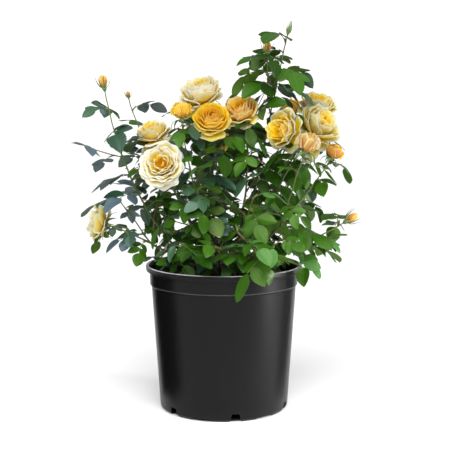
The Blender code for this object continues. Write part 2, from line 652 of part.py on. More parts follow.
def trimmed_lathe(rows):
    """A lathe whose first and last rows are points on the axis."""
    corners, faces = lathe(rows[1:-1])
    faces = faces[:-2]
    last = len(corners) - POT_SIDES
    corners.extend((Vector((0, 0, rows[0][1])), Vector((0, 0, rows[-1][1]))))
    low = len(corners) - 2
    for side in range(POT_SIDES):
        beside = (side + 1) % POT_SIDES
        faces.append((beside, side, low))
        faces.append((last + side, last + beside, low + 1))
    return corners, faces


def build_drain_cutter():
    """Tapering notches in the wall's foot, and between them low slots under its edge."""
    corners = []
    faces = []
    for drain in range(2 * DRAIN_COUNT):
        turn = math.radians(DRAIN_TURN + 180 * drain / DRAIN_COUNT)
        out = Vector((math.cos(turn), math.sin(turn), 0))
        side = Vector((-out.y, out.x, 0))
        if drain % 2 == 0:
            low_width, high_width, height = NOTCH_WIDTH_LOW, NOTCH_WIDTH_HIGH, NOTCH_HEIGHT
        else:
            low_width, high_width, height = SLOT_WIDTH, SLOT_WIDTH * 0.94, SLOT_HEIGHT
        first = len(corners)
        outline = ((-low_width, -0.002), (low_width, -0.002), (high_width, height), (-high_width, height))
        for radius in (DRAIN_INNER_RADIUS, FOOT_RADIUS + 0.006):
            for width, level in outline:
                corners.append(out * radius + side * (width / 2) + Vector((0, 0, level)))
        faces.extend([(first, first + 1, first + 2, first + 3), (first + 7, first + 6, first + 5, first + 4)])
        for edge in range(4):
            beside = (edge + 1) % 4
            faces.append((first + edge, first + 4 + edge, first + 4 + beside, first + beside))
    cutter = make_object("drain_cutter", (corners, faces))
    cutter.hide_render = True
    cutter.display_type = "WIRE"
    return cutter


def wall_inside(height):
    """Radius of the pot's inner face at a height."""
    shoulder = POT_HEIGHT - COLLAR_DEPTH - STEP_DEPTH
    if height > POT_HEIGHT - COLLAR_DEPTH + STEP_INSIDE:
        return COLLAR_RADIUS - WALL
    share = (height - FLOOR - FLOOR_ROUND) / (shoulder - FLOOR - FLOOR_ROUND)
    return FOOT_RADIUS - WALL + (SHOULDER_RADIUS - FOOT_RADIUS) * min(share, 1.0)


def build_soil():
    """Potting mix that fills the pot, gently mounded to the crown."""
    clear = GAP + 0.0001
    shoulder = POT_HEIGHT - COLLAR_DEPTH - STEP_DEPTH
    rows = (
        (0.0, FLOOR + clear), (DRAIN_INNER_RADIUS - 0.002, FLOOR + clear),
        (wall_inside(FLOOR + 0.0060) - clear, FLOOR + 0.0060),
        (wall_inside(shoulder) - clear, shoulder - 0.0004),
        (wall_inside(shoulder) - clear + 0.0014, POT_HEIGHT - COLLAR_DEPTH + 0.0016),
        (wall_inside(SOIL_EDGE) - clear, SOIL_EDGE),
        (wall_inside(SOIL_EDGE) * 0.6, SOIL_EDGE + 0.0016),
        (CROWN_RADIUS * 1.3, SOIL_MOUND), (0.0, SOIL_MOUND),
    )
    soil = make_object("soil", trimmed_lathe(rows))
    return dress(soil, (0.022, 0.016, 0.012), 0.95, 30)


def build_crown():
    """The knob of old wood at soil level, cut flat where it meets the potting mix."""
    base = SOIL_MOUND + GAP
    rows = [(CROWN_RADIUS * 0.97, base), (CROWN_RADIUS, SOIL_MOUND + CROWN_SKIRT)]
    for step in range(1, 5):
        lift = math.radians(18 * step)
        rows.append((CROWN_RADIUS * math.cos(lift), SOIL_MOUND + CROWN_SKIRT + CROWN_HEIGHT * math.sin(lift)))
    crown = make_object("crown", lathe(rows, 16))
    return dress(crown, (0.075, 0.050, 0.030), 0.85, 50)


def build_cane(plot, course):
    """The bare lower length of a shoot that springs from the crown."""
    count = max(3, round(course.length * plot.split / CANE_STEP))
    shares = [plot.split * step / count for step in range(count + 1)]
    points = [course.point(t) for t in shares]
    radii = [course.radius(t) for t in shares]
    cane = make_object("cane_" + plot.name, tube(points, radii, 6, course.foot_normal))
    return dress(cane, (0.060, 0.095, 0.030), 0.55, 65)


def build_mass(plot, course, leaves):
    """A shoot above its cane: stem, leaf stalks, leaflets and flower, fused into one solid."""
    first = course.point(plot.split) + course.along(plot.split) * GAP
    count = max(4, round(course.length * (1 - plot.split) / SHOOT_STEP))
    shares = [plot.split + (1 - plot.split) * step / count for step in range(count + 1)]
    points = [first if plot.split else course.start] + [course.point(t) for t in shares[1:]]
    radii = [course.radius(t) for t in shares]
    foot_normal = course.along(plot.split) if plot.split else course.foot_normal
    shapes = [tube(points, radii, 4, foot_normal)]
    shapes.extend(leaf_shape(leaf) for leaf in leaves)
    if plot.end != "leaf":
        shapes.append(flower_body(course, plot.end, plot.size, 8 if plot.end == "bloom" else 6))
    mass = fuse("spray_" + plot.name, shapes)
    return dress(mass, (0.030, 0.085, 0.022), 0.45, 40)


def build():
    clear_scene()
    build_pot()
    build_soil()
    build_crown()
    courses = plot_courses(PLAN)
    grown = grow_leaves(PLAN, courses)
    for plot in PLAN:
        if plot.split:
            build_cane(plot, courses[plot.name])
        build_mass(plot, courses[plot.name], grown[plot.name])


build()
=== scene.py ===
import math
import random
from collections import namedtuple
from functools import lru_cache

import bpy
import numpy as np
from mathutils import Matrix, Vector
from mathutils.bvhtree import BVHTree


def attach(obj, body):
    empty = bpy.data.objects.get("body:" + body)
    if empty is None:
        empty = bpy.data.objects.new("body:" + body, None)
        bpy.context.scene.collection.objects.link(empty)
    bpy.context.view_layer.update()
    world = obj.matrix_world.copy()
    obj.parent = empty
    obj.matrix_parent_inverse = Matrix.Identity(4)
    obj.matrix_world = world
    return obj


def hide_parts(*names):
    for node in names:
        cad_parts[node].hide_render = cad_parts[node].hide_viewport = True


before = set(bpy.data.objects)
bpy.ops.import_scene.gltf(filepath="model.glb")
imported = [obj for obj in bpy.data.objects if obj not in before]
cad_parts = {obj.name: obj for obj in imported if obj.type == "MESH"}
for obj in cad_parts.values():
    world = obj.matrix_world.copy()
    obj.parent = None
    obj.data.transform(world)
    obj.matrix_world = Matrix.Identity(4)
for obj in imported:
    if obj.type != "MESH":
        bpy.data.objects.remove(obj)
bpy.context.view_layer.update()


# ---- Camera
# A long lens a little above the blooms, tipped down so that the rim of the pot shows as a narrow oval.
CAMERA_PLACE = (0.0111, -1.971, 0.574)
CAMERA_TIP = 7.33
LENS = 86.84
SENSOR_WIDTH = 36.0


def bring_in(name, data):
    """A new object of the scene, made of data."""
    thing = bpy.data.objects.new(name, data)
    bpy.context.scene.collection.objects.link(thing)
    return thing


camera = bring_in("camera", bpy.data.cameras.new("camera"))
camera.data.lens = LENS
camera.data.sensor_width = SENSOR_WIDTH
camera.location = CAMERA_PLACE
camera.rotation_euler = (math.radians(90 - CAMERA_TIP), 0, 0)
bpy.context.scene.camera = camera


# ---- Studio
# A wide pale floor that runs out to a round white wall, under a dimmer ceiling.  A broad soft lamp stands
# high in front on the left, and boxes of light to the right, in front and behind give the pot its highlights.
FLOOR_HALF = 14.0
FLOOR_GREYS = (0.93, 0.95)   # its darkest and its palest places
HORIZON_LEVEL = 1.15
CEILING_LEVEL = 0.40
SIDE_LEVEL = 0.36            # of the horizon to the left, to the right and behind the camera
WALL_RADIUS = 14.0
WALL_LEVELS = (-0.01, 14.0)
WALL_SIDES = 96
FLAG_FOOT = 0.001
FLAGS = (
    # name, foot nearest the camera, far foot, height, grey: screens that only reflections see
    ("left", (-0.165, -0.110), (-0.165, 0.032), 0.24, 0.01),
    ("right", (0.165, -0.055), (0.165, 0.020), 0.24, 0.60),
)
KEY_TURN = (40, 0, -12)      # degrees: how far the key lamp leans over, and from which side it shines
KEY_POWER = 3.2
KEY_SPREAD = 65
BOXES = (
    # name, place, point it faces, width, height, spread of its beam in degrees, power
    ("right", (0.86, -0.26, 0.20), (0.10, -0.03, 0.08), 0.20, 0.38, 60, 1.25),
    ("front", (0.5, -2.0, 1.6), (0.0, 0.0, 0.35), 1.0, 1.0, 180, 14.0),
    ("back_right", (1.3, 0.9, 0.6), (0.0, 0.0, 0.3), 0.3, 1.2, 180, 4.0),
)


class Wire:
    """A socket in a finish.  Sums written on wires add their Math nodes, and node() adds any other."""

    def __init__(self, tree, socket=None):
        self.tree = tree
        self.socket = socket

    def node(self, kind, settings, inputs, output=0):
        made = self.tree.nodes.new("ShaderNode" + kind)
        for key, value in settings.items():
            if key != "stops":
                setattr(made, key, value)
                continue
            stops = made.color_ramp.elements
            stops[0].position, stops[1].position = value[0][0], value[-1][0]
            for place, colour in value[1:-1]:
                stops.new(place)
            for stop, (place, colour) in zip(stops, value):
                stop.color = (*colour, 1.0)
        for key, value in inputs.items():
            if isinstance(value, Wire):
                self.tree.links.new(value.socket, made.inputs[key])
            else:
                made.inputs[key].default_value = value
        return Wire(self.tree, made.outputs[output])

    def maths(self, operation, *values):
        return self.node("Math", {"operation": operation}, dict(enumerate(values)))

    def __add__(self, other):
        return self.maths("ADD", self, other)

    def __sub__(self, other):
        return self.maths("SUBTRACT", self, other)

    def __rsub__(self, other):
        return self.maths("SUBTRACT", other, self)

    def __mul__(self, other):
        return self.maths("MULTIPLY", self, other)

    def __abs__(self):
        return self.maths("ABSOLUTE", self)

    __radd__ = __add__
    __rmul__ = __mul__


def start_finish(name, colour, roughness, **plain):
    """A new finish with plain values, and a wire to build on."""
    material = bpy.data.materials.new(name)
    material.use_nodes = True
    shader = material.node_tree.nodes["Principled BSDF"]
    shader.inputs["Base Color"].default_value = (*colour, 1.0)
    shader.inputs["Roughness"].default_value = roughness
    for key, value in plain.items():
        shader.inputs[key.replace("_", " ")].default_value = value
    return material, Wire(material.node_tree)


def feed(material, **wires):
    """Leads wires into the finish's shader."""
    shader = material.node_tree.nodes["Principled BSDF"]
    for key, wire in wires.items():
        material.node_tree.links.new(wire.socket, shader.inputs[key.replace("_", " ")])


def noise(place, scale, detail=2.0, rough=0.5):
    """Cloudy noise read at place."""
    values = {"Vector": place, "Scale": scale, "Detail": detail, "Roughness": rough}
    return place.node("TexNoise", {}, values, "Fac")


def soft_step(value, low, high, from_low=0.0, to_high=1.0):
    """A soft step from one level to another as value goes from low to high."""
    ends = {"Value": value, "From Min": low, "From Max": high, "To Min": from_low, "To Max": to_high}
    return value.node("MapRange", {"interpolation_type": "SMOOTHSTEP"}, ends)


def axis(place, number):
    return place.node("SeparateXYZ", {}, {0: place}, number)


def grey(shade):
    return shade.node("CombineColor", {}, {0: shade, 1: shade, 2: shade})


def spokes(count, shift=0.0):
    """Points round a circle of radius 1."""
    angles = [math.tau * (spoke + shift) / count for spoke in range(count)]
    return [(math.cos(angle), math.sin(angle)) for angle in angles]


def set_up(name, corners, faces, finish, unseen=()):
    """A thing of the studio, hidden from the kinds of ray that are named."""
    mesh = bpy.data.meshes.new(name)
    mesh.from_pydata(corners, [], faces)
    mesh.materials.append(finish)
    thing = bring_in(name, mesh)
    for kind in unseen:
        setattr(thing, "visible_" + kind, False)


floor_finish, wire = start_finish("floor_board", (0.94, 0.94, 0.94), 0.85)
mottle = noise(wire.node("TexCoord", {}, {}, "Object"), 3.0, 3.0)
shade = wire.node("MapRange", {}, {"Value": mottle, "To Min": FLOOR_GREYS[0], "To Max": FLOOR_GREYS[1]})
feed(floor_finish, Base_Color=grey(shade))
corners = [(x * FLOOR_HALF, y * FLOOR_HALF, 0.0) for x, y in ((-1, -1), (1, -1), (1, 1), (-1, 1))]
set_up("floor", corners, [(0, 1, 2, 3)], floor_finish)

# The wall is seen, but it casts neither light nor shadow.
wall_finish, wire = start_finish("backdrop", (0.0, 0.0, 0.0), 1.0, Emission_Strength=HORIZON_LEVEL)
weave = wire.node("TexNoise", {}, {"Scale": 4.0}, "Fac")
feed(wall_finish, Emission_Color=grey(weave * 0.01 + 0.99))
corners = [(WALL_RADIUS * x, WALL_RADIUS * y, level) for level in WALL_LEVELS for x, y in spokes(WALL_SIDES)]
faces = [(side, (side + 1) % WALL_SIDES, WALL_SIDES + (side + 1) % WALL_SIDES, WALL_SIDES + side)
         for side in range(WALL_SIDES)]
set_up("backdrop", corners, faces, wall_finish, ("shadow", "diffuse", "glossy", "transmission"))

for name, near, far, height, shade in FLAGS:
    cloth, wire = start_finish("cloth_" + name, (shade, shade, shade), 0.95)
    weave = wire.node("TexNoise", {}, {"Scale": 300.0}, "Fac")
    feed(cloth, Roughness=0.9 + weave * 0.1)
    corners = [(*near, FLAG_FOOT), (*far, FLAG_FOOT), (*far, height), (*near, height)]
    set_up("flag_" + name, corners, [(0, 1, 2, 3)], cloth, ("camera", "shadow", "diffuse", "transmission"))

for name, spot, target, width, height, spread, power in BOXES:
    box = bpy.data.lights.new("box_" + name, "AREA")
    box.shape = "RECTANGLE"
    box.size, box.size_y = width, height
    box.energy = power
    box.spread = math.radians(spread)
    lamp = bring_in("box_" + name, box)
    lamp.location = spot
    lamp.visible_camera = False
    lamp.rotation_euler = (Vector(target) - Vector(spot)).to_track_quat("-Z", "Y").to_euler()

key = bpy.data.lights.new("key", "SUN")
key.energy = KEY_POWER
key.angle = math.radians(KEY_SPREAD)
bring_in("key", key).rotation_euler = [math.radians(angle) for angle in KEY_TURN]

sky = bpy.data.worlds.new("studio")
sky.use_nodes = True
way = Wire(sky.node_tree).node("TexCoord", {}, {}, "Generated")
beyond = soft_step(axis(way, 1), 0.86, 0.95, SIDE_LEVEL, HORIZON_LEVEL)
lift = soft_step(axis(way, 2), 0.10, 0.35)
level = beyond + lift * (CEILING_LEVEL - beyond)
sky.node_tree.links.new(level.socket, sky.node_tree.nodes["Background"].inputs["Strength"])
sky.node_tree.nodes["Background"].inputs["Color"].default_value = (1.0, 1.0, 1.0, 1.0)
bpy.context.scene.world = sky
bpy.context.scene.view_settings.view_transform = "Standard"


# ---- Pot
# A nursery pot blown from recycled black plastic: a stiff turned lip, a deep collar, a plain tapering wall
# and a rounded foot with tall drain notches and, between them, low slots.  The plant stands loose in it.
POT_HEIGHT = 0.260
LIP_RADIUS = 0.1397
LIP_DEPTH = 0.010
COLLAR_RADIUS = 0.1322
COLLAR_DEPTH = 0.035
SHOULDER_RADIUS = 0.1296
FOOT_RADIUS = 0.1155
WALL = 0.0018
FLOOR_THICKNESS = 0.0035
CORNER_ROUND = 0.0014
CORNER_STEPS = 4
POT_SIDES = 180
DRAIN_COUNT = 6
DRAIN_TURN = 280.4
DRAIN_RADII = (0.106, FOOT_RADIUS + 0.006)
DRAIN_FOOT = -0.002
NOTCH = (0.021, 0.013, 0.0145)      # width at the foot, width at the top, height
SLOT = (0.038, 0.0357, 0.0042)


def lathe(rows, sides):
    """A solid turned about Z from (radius, height) rows that start and end on the axis."""
    corners = [Vector((0, 0, rows[0][1]))]
    for radius, height in rows[1:-1]:
        corners.extend(Vector((radius * x, radius * y, height)) for x, y in spokes(sides))
    corners.append(Vector((0, 0, rows[-1][1])))
    last = 1 + (len(rows) - 3) * sides
    faces = []
    for side in range(sides):
        beside = (side + 1) % sides
        faces.append((0, 1 + beside, 1 + side))
        for near in range(1, last, sides):
            faces.append((near + side, near + beside, near + sides + beside, near + sides + side))
        faces.append((last + side, last + beside, len(corners) - 1))
    return corners, faces


def make_piece(name, corners, faces, finishes, sharp=35):
    """A named mesh piece, smooth but for edges sharper than the given angle."""
    mesh = bpy.data.meshes.new(name)
    mesh.from_pydata([tuple(corner) for corner in corners], [], faces)
    for finish in finishes:
        mesh.materials.append(finish)
    mesh.shade_smooth()
    mesh.set_sharp_from_angle(angle=math.radians(sharp))
    return bring_in(name, mesh)


def stretch(place, scale):
    return place.node("Mapping", {}, {"Vector": place, "Scale": scale})


def ramp(value, *stops):
    """A colour that changes with value, through (level, colour) stops."""
    return value.node("ValToRGB", {"stops": stops}, {0: value})


def lay_over(tone, colour, share):
    """Tone with a plain colour laid over it by share."""
    return share.node("Mix", {"data_type": "RGBA"}, {0: share, 6: tone, 7: (*colour, 1.0)}, 2)


def relief(height, strength, distance):
    return height.node("Bump", {}, {"Height": height, "Strength": strength, "Distance": distance})


collar_foot = POT_HEIGHT - COLLAR_DEPTH
inner = COLLAR_RADIUS - WALL
outside = (
    (0.0, 0.0), (FOOT_RADIUS - 0.0045, 0.0), (FOOT_RADIUS, 0.0050), (SHOULDER_RADIUS, collar_foot - 0.0022),
    (SHOULDER_RADIUS + 0.0006, collar_foot - 0.0014), (COLLAR_RADIUS, collar_foot - 0.0002),
    (COLLAR_RADIUS + 0.0006, POT_HEIGHT - LIP_DEPTH - 0.0006), (LIP_RADIUS - 0.0004, POT_HEIGHT - LIP_DEPTH),
    (LIP_RADIUS, POT_HEIGHT - 0.0004), (inner + 0.0042, POT_HEIGHT), (inner + 0.0010, POT_HEIGHT - LIP_DEPTH),
    (inner, collar_foot + 0.0012), (SHOULDER_RADIUS - WALL, collar_foot - 0.0020),
    (FOOT_RADIUS - WALL, FLOOR_THICKNESS + 0.0030), (FOOT_RADIUS - WALL - 0.0030, FLOOR_THICKNESS),
    (0.0, FLOOR_THICKNESS),
)
rounded = [outside[0]]
for before, here, after in zip(outside, outside[1:], outside[2:]):
    before, here, after = Vector(before), Vector(here), Vector(after)
    cut = min(CORNER_ROUND, (before - here).length * 0.45, (after - here).length * 0.45)
    first = here + (before - here).normalized() * cut
    last = here + (after - here).normalized() * cut
    for t in (number / CORNER_STEPS for number in range(CORNER_STEPS + 1)):
        rounded.append(tuple(first * (1 - t) ** 2 + here * 2 * t * (1 - t) + last * t ** 2))
corners, faces = lathe(rounded + [outside[-1]], POT_SIDES)

# Thin plastic is never quite round, and its lip is never quite level.
for corner in corners:
    turn = math.atan2(corner.y, corner.x)
    height = max(corner.z, 0.0) / POT_HEIGHT
    give = 0.00035 * math.sin(2 * turn + 0.6) * height + 0.00012 * math.sin(9 * turn + 7 * height)
    corner.x, corner.y = corner.x * (1 + give / FOOT_RADIUS), corner.y * (1 + give / FOOT_RADIUS)
    if corner.z > POT_HEIGHT - LIP_DEPTH * 0.5:
        corner.z -= 0.00045 * (1 + math.sin(3 * turn + 1.0) * math.sin(7 * turn))

cutter_corners = []
cutter_faces = []
for drain in range(2 * DRAIN_COUNT):
    turn = math.radians(DRAIN_TURN + 180 * drain / DRAIN_COUNT)
    out = Vector((math.cos(turn), math.sin(turn), 0))
    side = Vector((-out.y, out.x, 0))
    low, high, height = SLOT if drain % 2 else NOTCH
    first = len(cutter_corners)
    for radius in DRAIN_RADII:
        for width, level in ((-low, DRAIN_FOOT), (low, DRAIN_FOOT), (high, height), (-high, height)):
            cutter_corners.append(out * radius + side * (width / 2) + Vector((0, 0, level)))
    cutter_faces.append((first + 3, first + 2, first + 1, first))
    cutter_faces.append((first + 4, first + 5, first + 6, first + 7))
    for edge in range(4):
        beside = (edge + 1) % 4
        cutter_faces.append((first + edge, first + beside, first + 4 + beside, first + 4 + edge))

# The plastic is streaked from top to bottom and dusty at the foot, with painted highlights as pale lines at
# the lip and collar.
pot_finish, wire = start_finish("black_plastic", (0.005, 0.005, 0.0053), 0.34, Specular_IOR_Level=0.16)
place = wire.node("TexCoord", {}, {}, "Object")
cloud = noise(place, 14.0, 4.0, 0.6)
streak = noise(stretch(place, (90.0, 90.0, 5.0)), 1.0, 3.0)
scuff = soft_step(streak, 0.60, 0.78)
height = axis(place, 2)
dust = soft_step(height + cloud * 0.03, 0.045, 0.0)
worn = scuff * 0.35 + dust * 0.5 + cloud * 0.25
# A painted highlight: a pale line along the top of the lip.
lip_painted_highlight = soft_step(height + cloud * 0.0012, POT_HEIGHT - 0.0008, POT_HEIGHT - 0.0001)
# A painted highlight: a fainter pale line at the foot of the collar.
collar_painted_highlight = soft_step(abs(height - (POT_HEIGHT - COLLAR_DEPTH + 0.0009)), 0.0010, 0.0003)
tone = ramp(worn, (0.0, (0.0035, 0.0035, 0.0037)), (0.5, (0.0055, 0.0055, 0.0057)),
            (1.0, (0.0200, 0.0195, 0.0185)))
tone = lay_over(tone, (0.60, 0.60, 0.61), lip_painted_highlight * (0.45 + streak * 0.9))
tone = lay_over(tone, (0.30, 0.30, 0.31), collar_painted_highlight * (0.04 + streak * 0.28))
grain = noise(place, 420.0)
bump = relief(grain * 0.35 + streak * 0.3 + cloud, 0.10, 0.0012)
feed(pot_finish, Base_Color=tone, Roughness=0.29 + worn * 0.16 + grain * 0.04, Normal=bump)

pot = make_piece("nursery_pot", corners, faces, [pot_finish])
cutter = make_piece("drain_cutter", cutter_corners, cutter_faces, [pot_finish])
cut = pot.modifiers.new("drains", "BOOLEAN")
cut.operation, cut.object, cut.solver = "DIFFERENCE", cutter, "EXACT"
cut_mesh = bpy.data.meshes.new_from_object(pot.evaluated_get(bpy.context.evaluated_depsgraph_get()))
pot.modifiers.clear()
pot.data = cut_mesh
bpy.data.objects.remove(cutter, do_unlink=True)
pot.data.set_sharp_from_angle(angle=math.radians(35))
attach(pot, "root")
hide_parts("pot")


# ---- Potting mix
# Composted bark and peat that fills the pot to an inch below the rim, heaped a little round the plant.
# Chips of bark and crumbs lie loose on it.
SOIL_EDGE = 0.2320
SOIL_MOUND = 0.2350
SOIL_UNDER = SOIL_EDGE - 0.0055
SOIL_REACH = COLLAR_RADIUS - WALL - 0.0006
SOIL_RINGS = 34
SOIL_SPOKES = 150
CRUMB = 0.0007
CHIP_COUNT = 900
CHIP_SIZES = (0.0012, 0.0030)
LARGE_CHIPS = (0.16, 1.9)           # share of the chips, and how much larger they are
CHIP_CORNERS = ((-1, -0.5, -0.3), (0.9, -0.6, -0.3), (1.0, 0.5, -0.3), (-0.8, 0.6, -0.3),
                (-0.8, -0.4, 0.35), (0.8, -0.4, 0.25), (0.7, 0.4, 0.35), (-0.7, 0.4, 0.3))
CHIP_FACES = ((3, 2, 1, 0), (4, 5, 6, 7), (0, 1, 5, 4), (1, 2, 6, 5), (2, 3, 7, 6), (3, 0, 4, 7))


def soil_level(x, y):
    """Height of the heap at a place, with its crumbs."""
    out = math.hypot(x, y) / (COLLAR_RADIUS - WALL)
    lump = sum(math.sin(x * k * 97 + k * 1.3 + 3 * math.sin(y * 61 * k)) * math.sin(y * k * 83 + k * 0.7) / k
               for k in (1, 2.3, 4.1, 7.7))
    return SOIL_MOUND + (SOIL_EDGE - SOIL_MOUND) * out ** 2 + 0.0009 * lump


draw = random.Random("potting mix")
corners = [Vector((0, 0, soil_level(0, 0)))]
faces = []
for ring in range(1, SOIL_RINGS + 1):
    radius = SOIL_REACH * ring / SOIL_RINGS
    for x, y in spokes(SOIL_SPOKES, 0.5 * (ring % 2)):
        height = soil_level(radius * x, radius * y) + draw.uniform(-CRUMB, CRUMB)
        corners.append(Vector((radius * x, radius * y, height)))
foot = len(corners)
corners.extend(Vector((SOIL_REACH * x, SOIL_REACH * y, SOIL_UNDER))
               for x, y in spokes(SOIL_SPOKES, 0.5 * (SOIL_RINGS % 2)))
corners.append(Vector((0, 0, SOIL_UNDER)))
for spoke in range(SOIL_SPOKES):
    beside = (spoke + 1) % SOIL_SPOKES
    faces.append((0, 1 + spoke, 1 + beside))
    for near in range(1, foot, SOIL_SPOKES):
        faces.append((near + spoke, near + SOIL_SPOKES + spoke, near + SOIL_SPOKES + beside, near + beside))
    faces.append((foot + beside, foot + spoke, len(corners) - 1))
surface = len(faces)
for chip in range(CHIP_COUNT):
    angle = draw.uniform(0, math.tau)
    radius = (SOIL_REACH - 0.006) * math.sqrt(draw.random())
    x, y = radius * math.cos(angle), radius * math.sin(angle)
    size = draw.uniform(*CHIP_SIZES) * (LARGE_CHIPS[1] if draw.random() < LARGE_CHIPS[0] else 1.0)
    turned = Matrix.Rotation(draw.uniform(0, math.tau), 3, "Z")
    turned = turned @ Matrix.Rotation(draw.uniform(-0.5, 0.5), 3, "X")
    first = len(corners)
    for corner in CHIP_CORNERS:
        spot = Vector(corner) * size * draw.uniform(0.8, 1.25)
        corners.append(turned @ spot + Vector((x, y, soil_level(x, y) + size * 0.15)))
    faces.extend(tuple(first + corner for corner in face) for face in CHIP_FACES)

soil_finish, wire = start_finish("potting_mix", (0.022, 0.015, 0.011), 0.95)
place = wire.node("TexCoord", {}, {}, "Object")
crumb = noise(place, 260.0, 6.0, 0.7)
patch = noise(place, 45.0, 3.0)
tone = ramp(crumb * 0.6 + patch * 0.4, (0.25, (0.006, 0.004, 0.003)), (0.5, (0.020, 0.013, 0.009)),
            (0.75, (0.055, 0.036, 0.022)))
feed(soil_finish, Base_Color=tone, Normal=relief(crumb, 0.6, 0.0015), Roughness=0.80 + patch * 0.18)

bark_finish, wire = start_finish("bark_chip", (0.05, 0.028, 0.016), 0.85)
fibre = noise(stretch(wire.node("TexCoord", {}, {}, "Object"), (900, 260, 400)), 1.0, 4.0)
tone = ramp(fibre, (0.3, (0.018, 0.010, 0.006)), (0.7, (0.085, 0.050, 0.028)))
feed(bark_finish, Base_Color=tone, Normal=relief(fibre, 0.4, 0.0008), Roughness=0.75 + fibre * 0.2)

soil = make_piece("potting_mix", corners, faces, [soil_finish, bark_finish], 60)
soil.data.polygons.foreach_set("material_index", [0] * surface + [1] * (len(faces) - surface))
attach(soil, "root")
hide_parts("soil")


# ---- Canes and twigs
# A grafted rose, cut back hard in winter: woody canes spring from a knobbly crown, turn green as they thin,
# and carry side shoots, short leafy twigs and leaf stalks.  Hooked prickles sit on the rind and snap off.
CROWN_RADIUS = 0.021
CROWN_HEIGHT = 0.026
CROWN_SKIRT = 0.005
CROWN_TOP = SOIL_MOUND + CROWN_SKIRT + CROWN_HEIGHT
CANE_RADIUS = 0.0038
LEAFY_RADIUS = 0.0028
SIDE_RADIUS = 0.0022
TIP_RADIUS = 0.0012
GAP = 0.0003                 # between a shoot and what it grows on

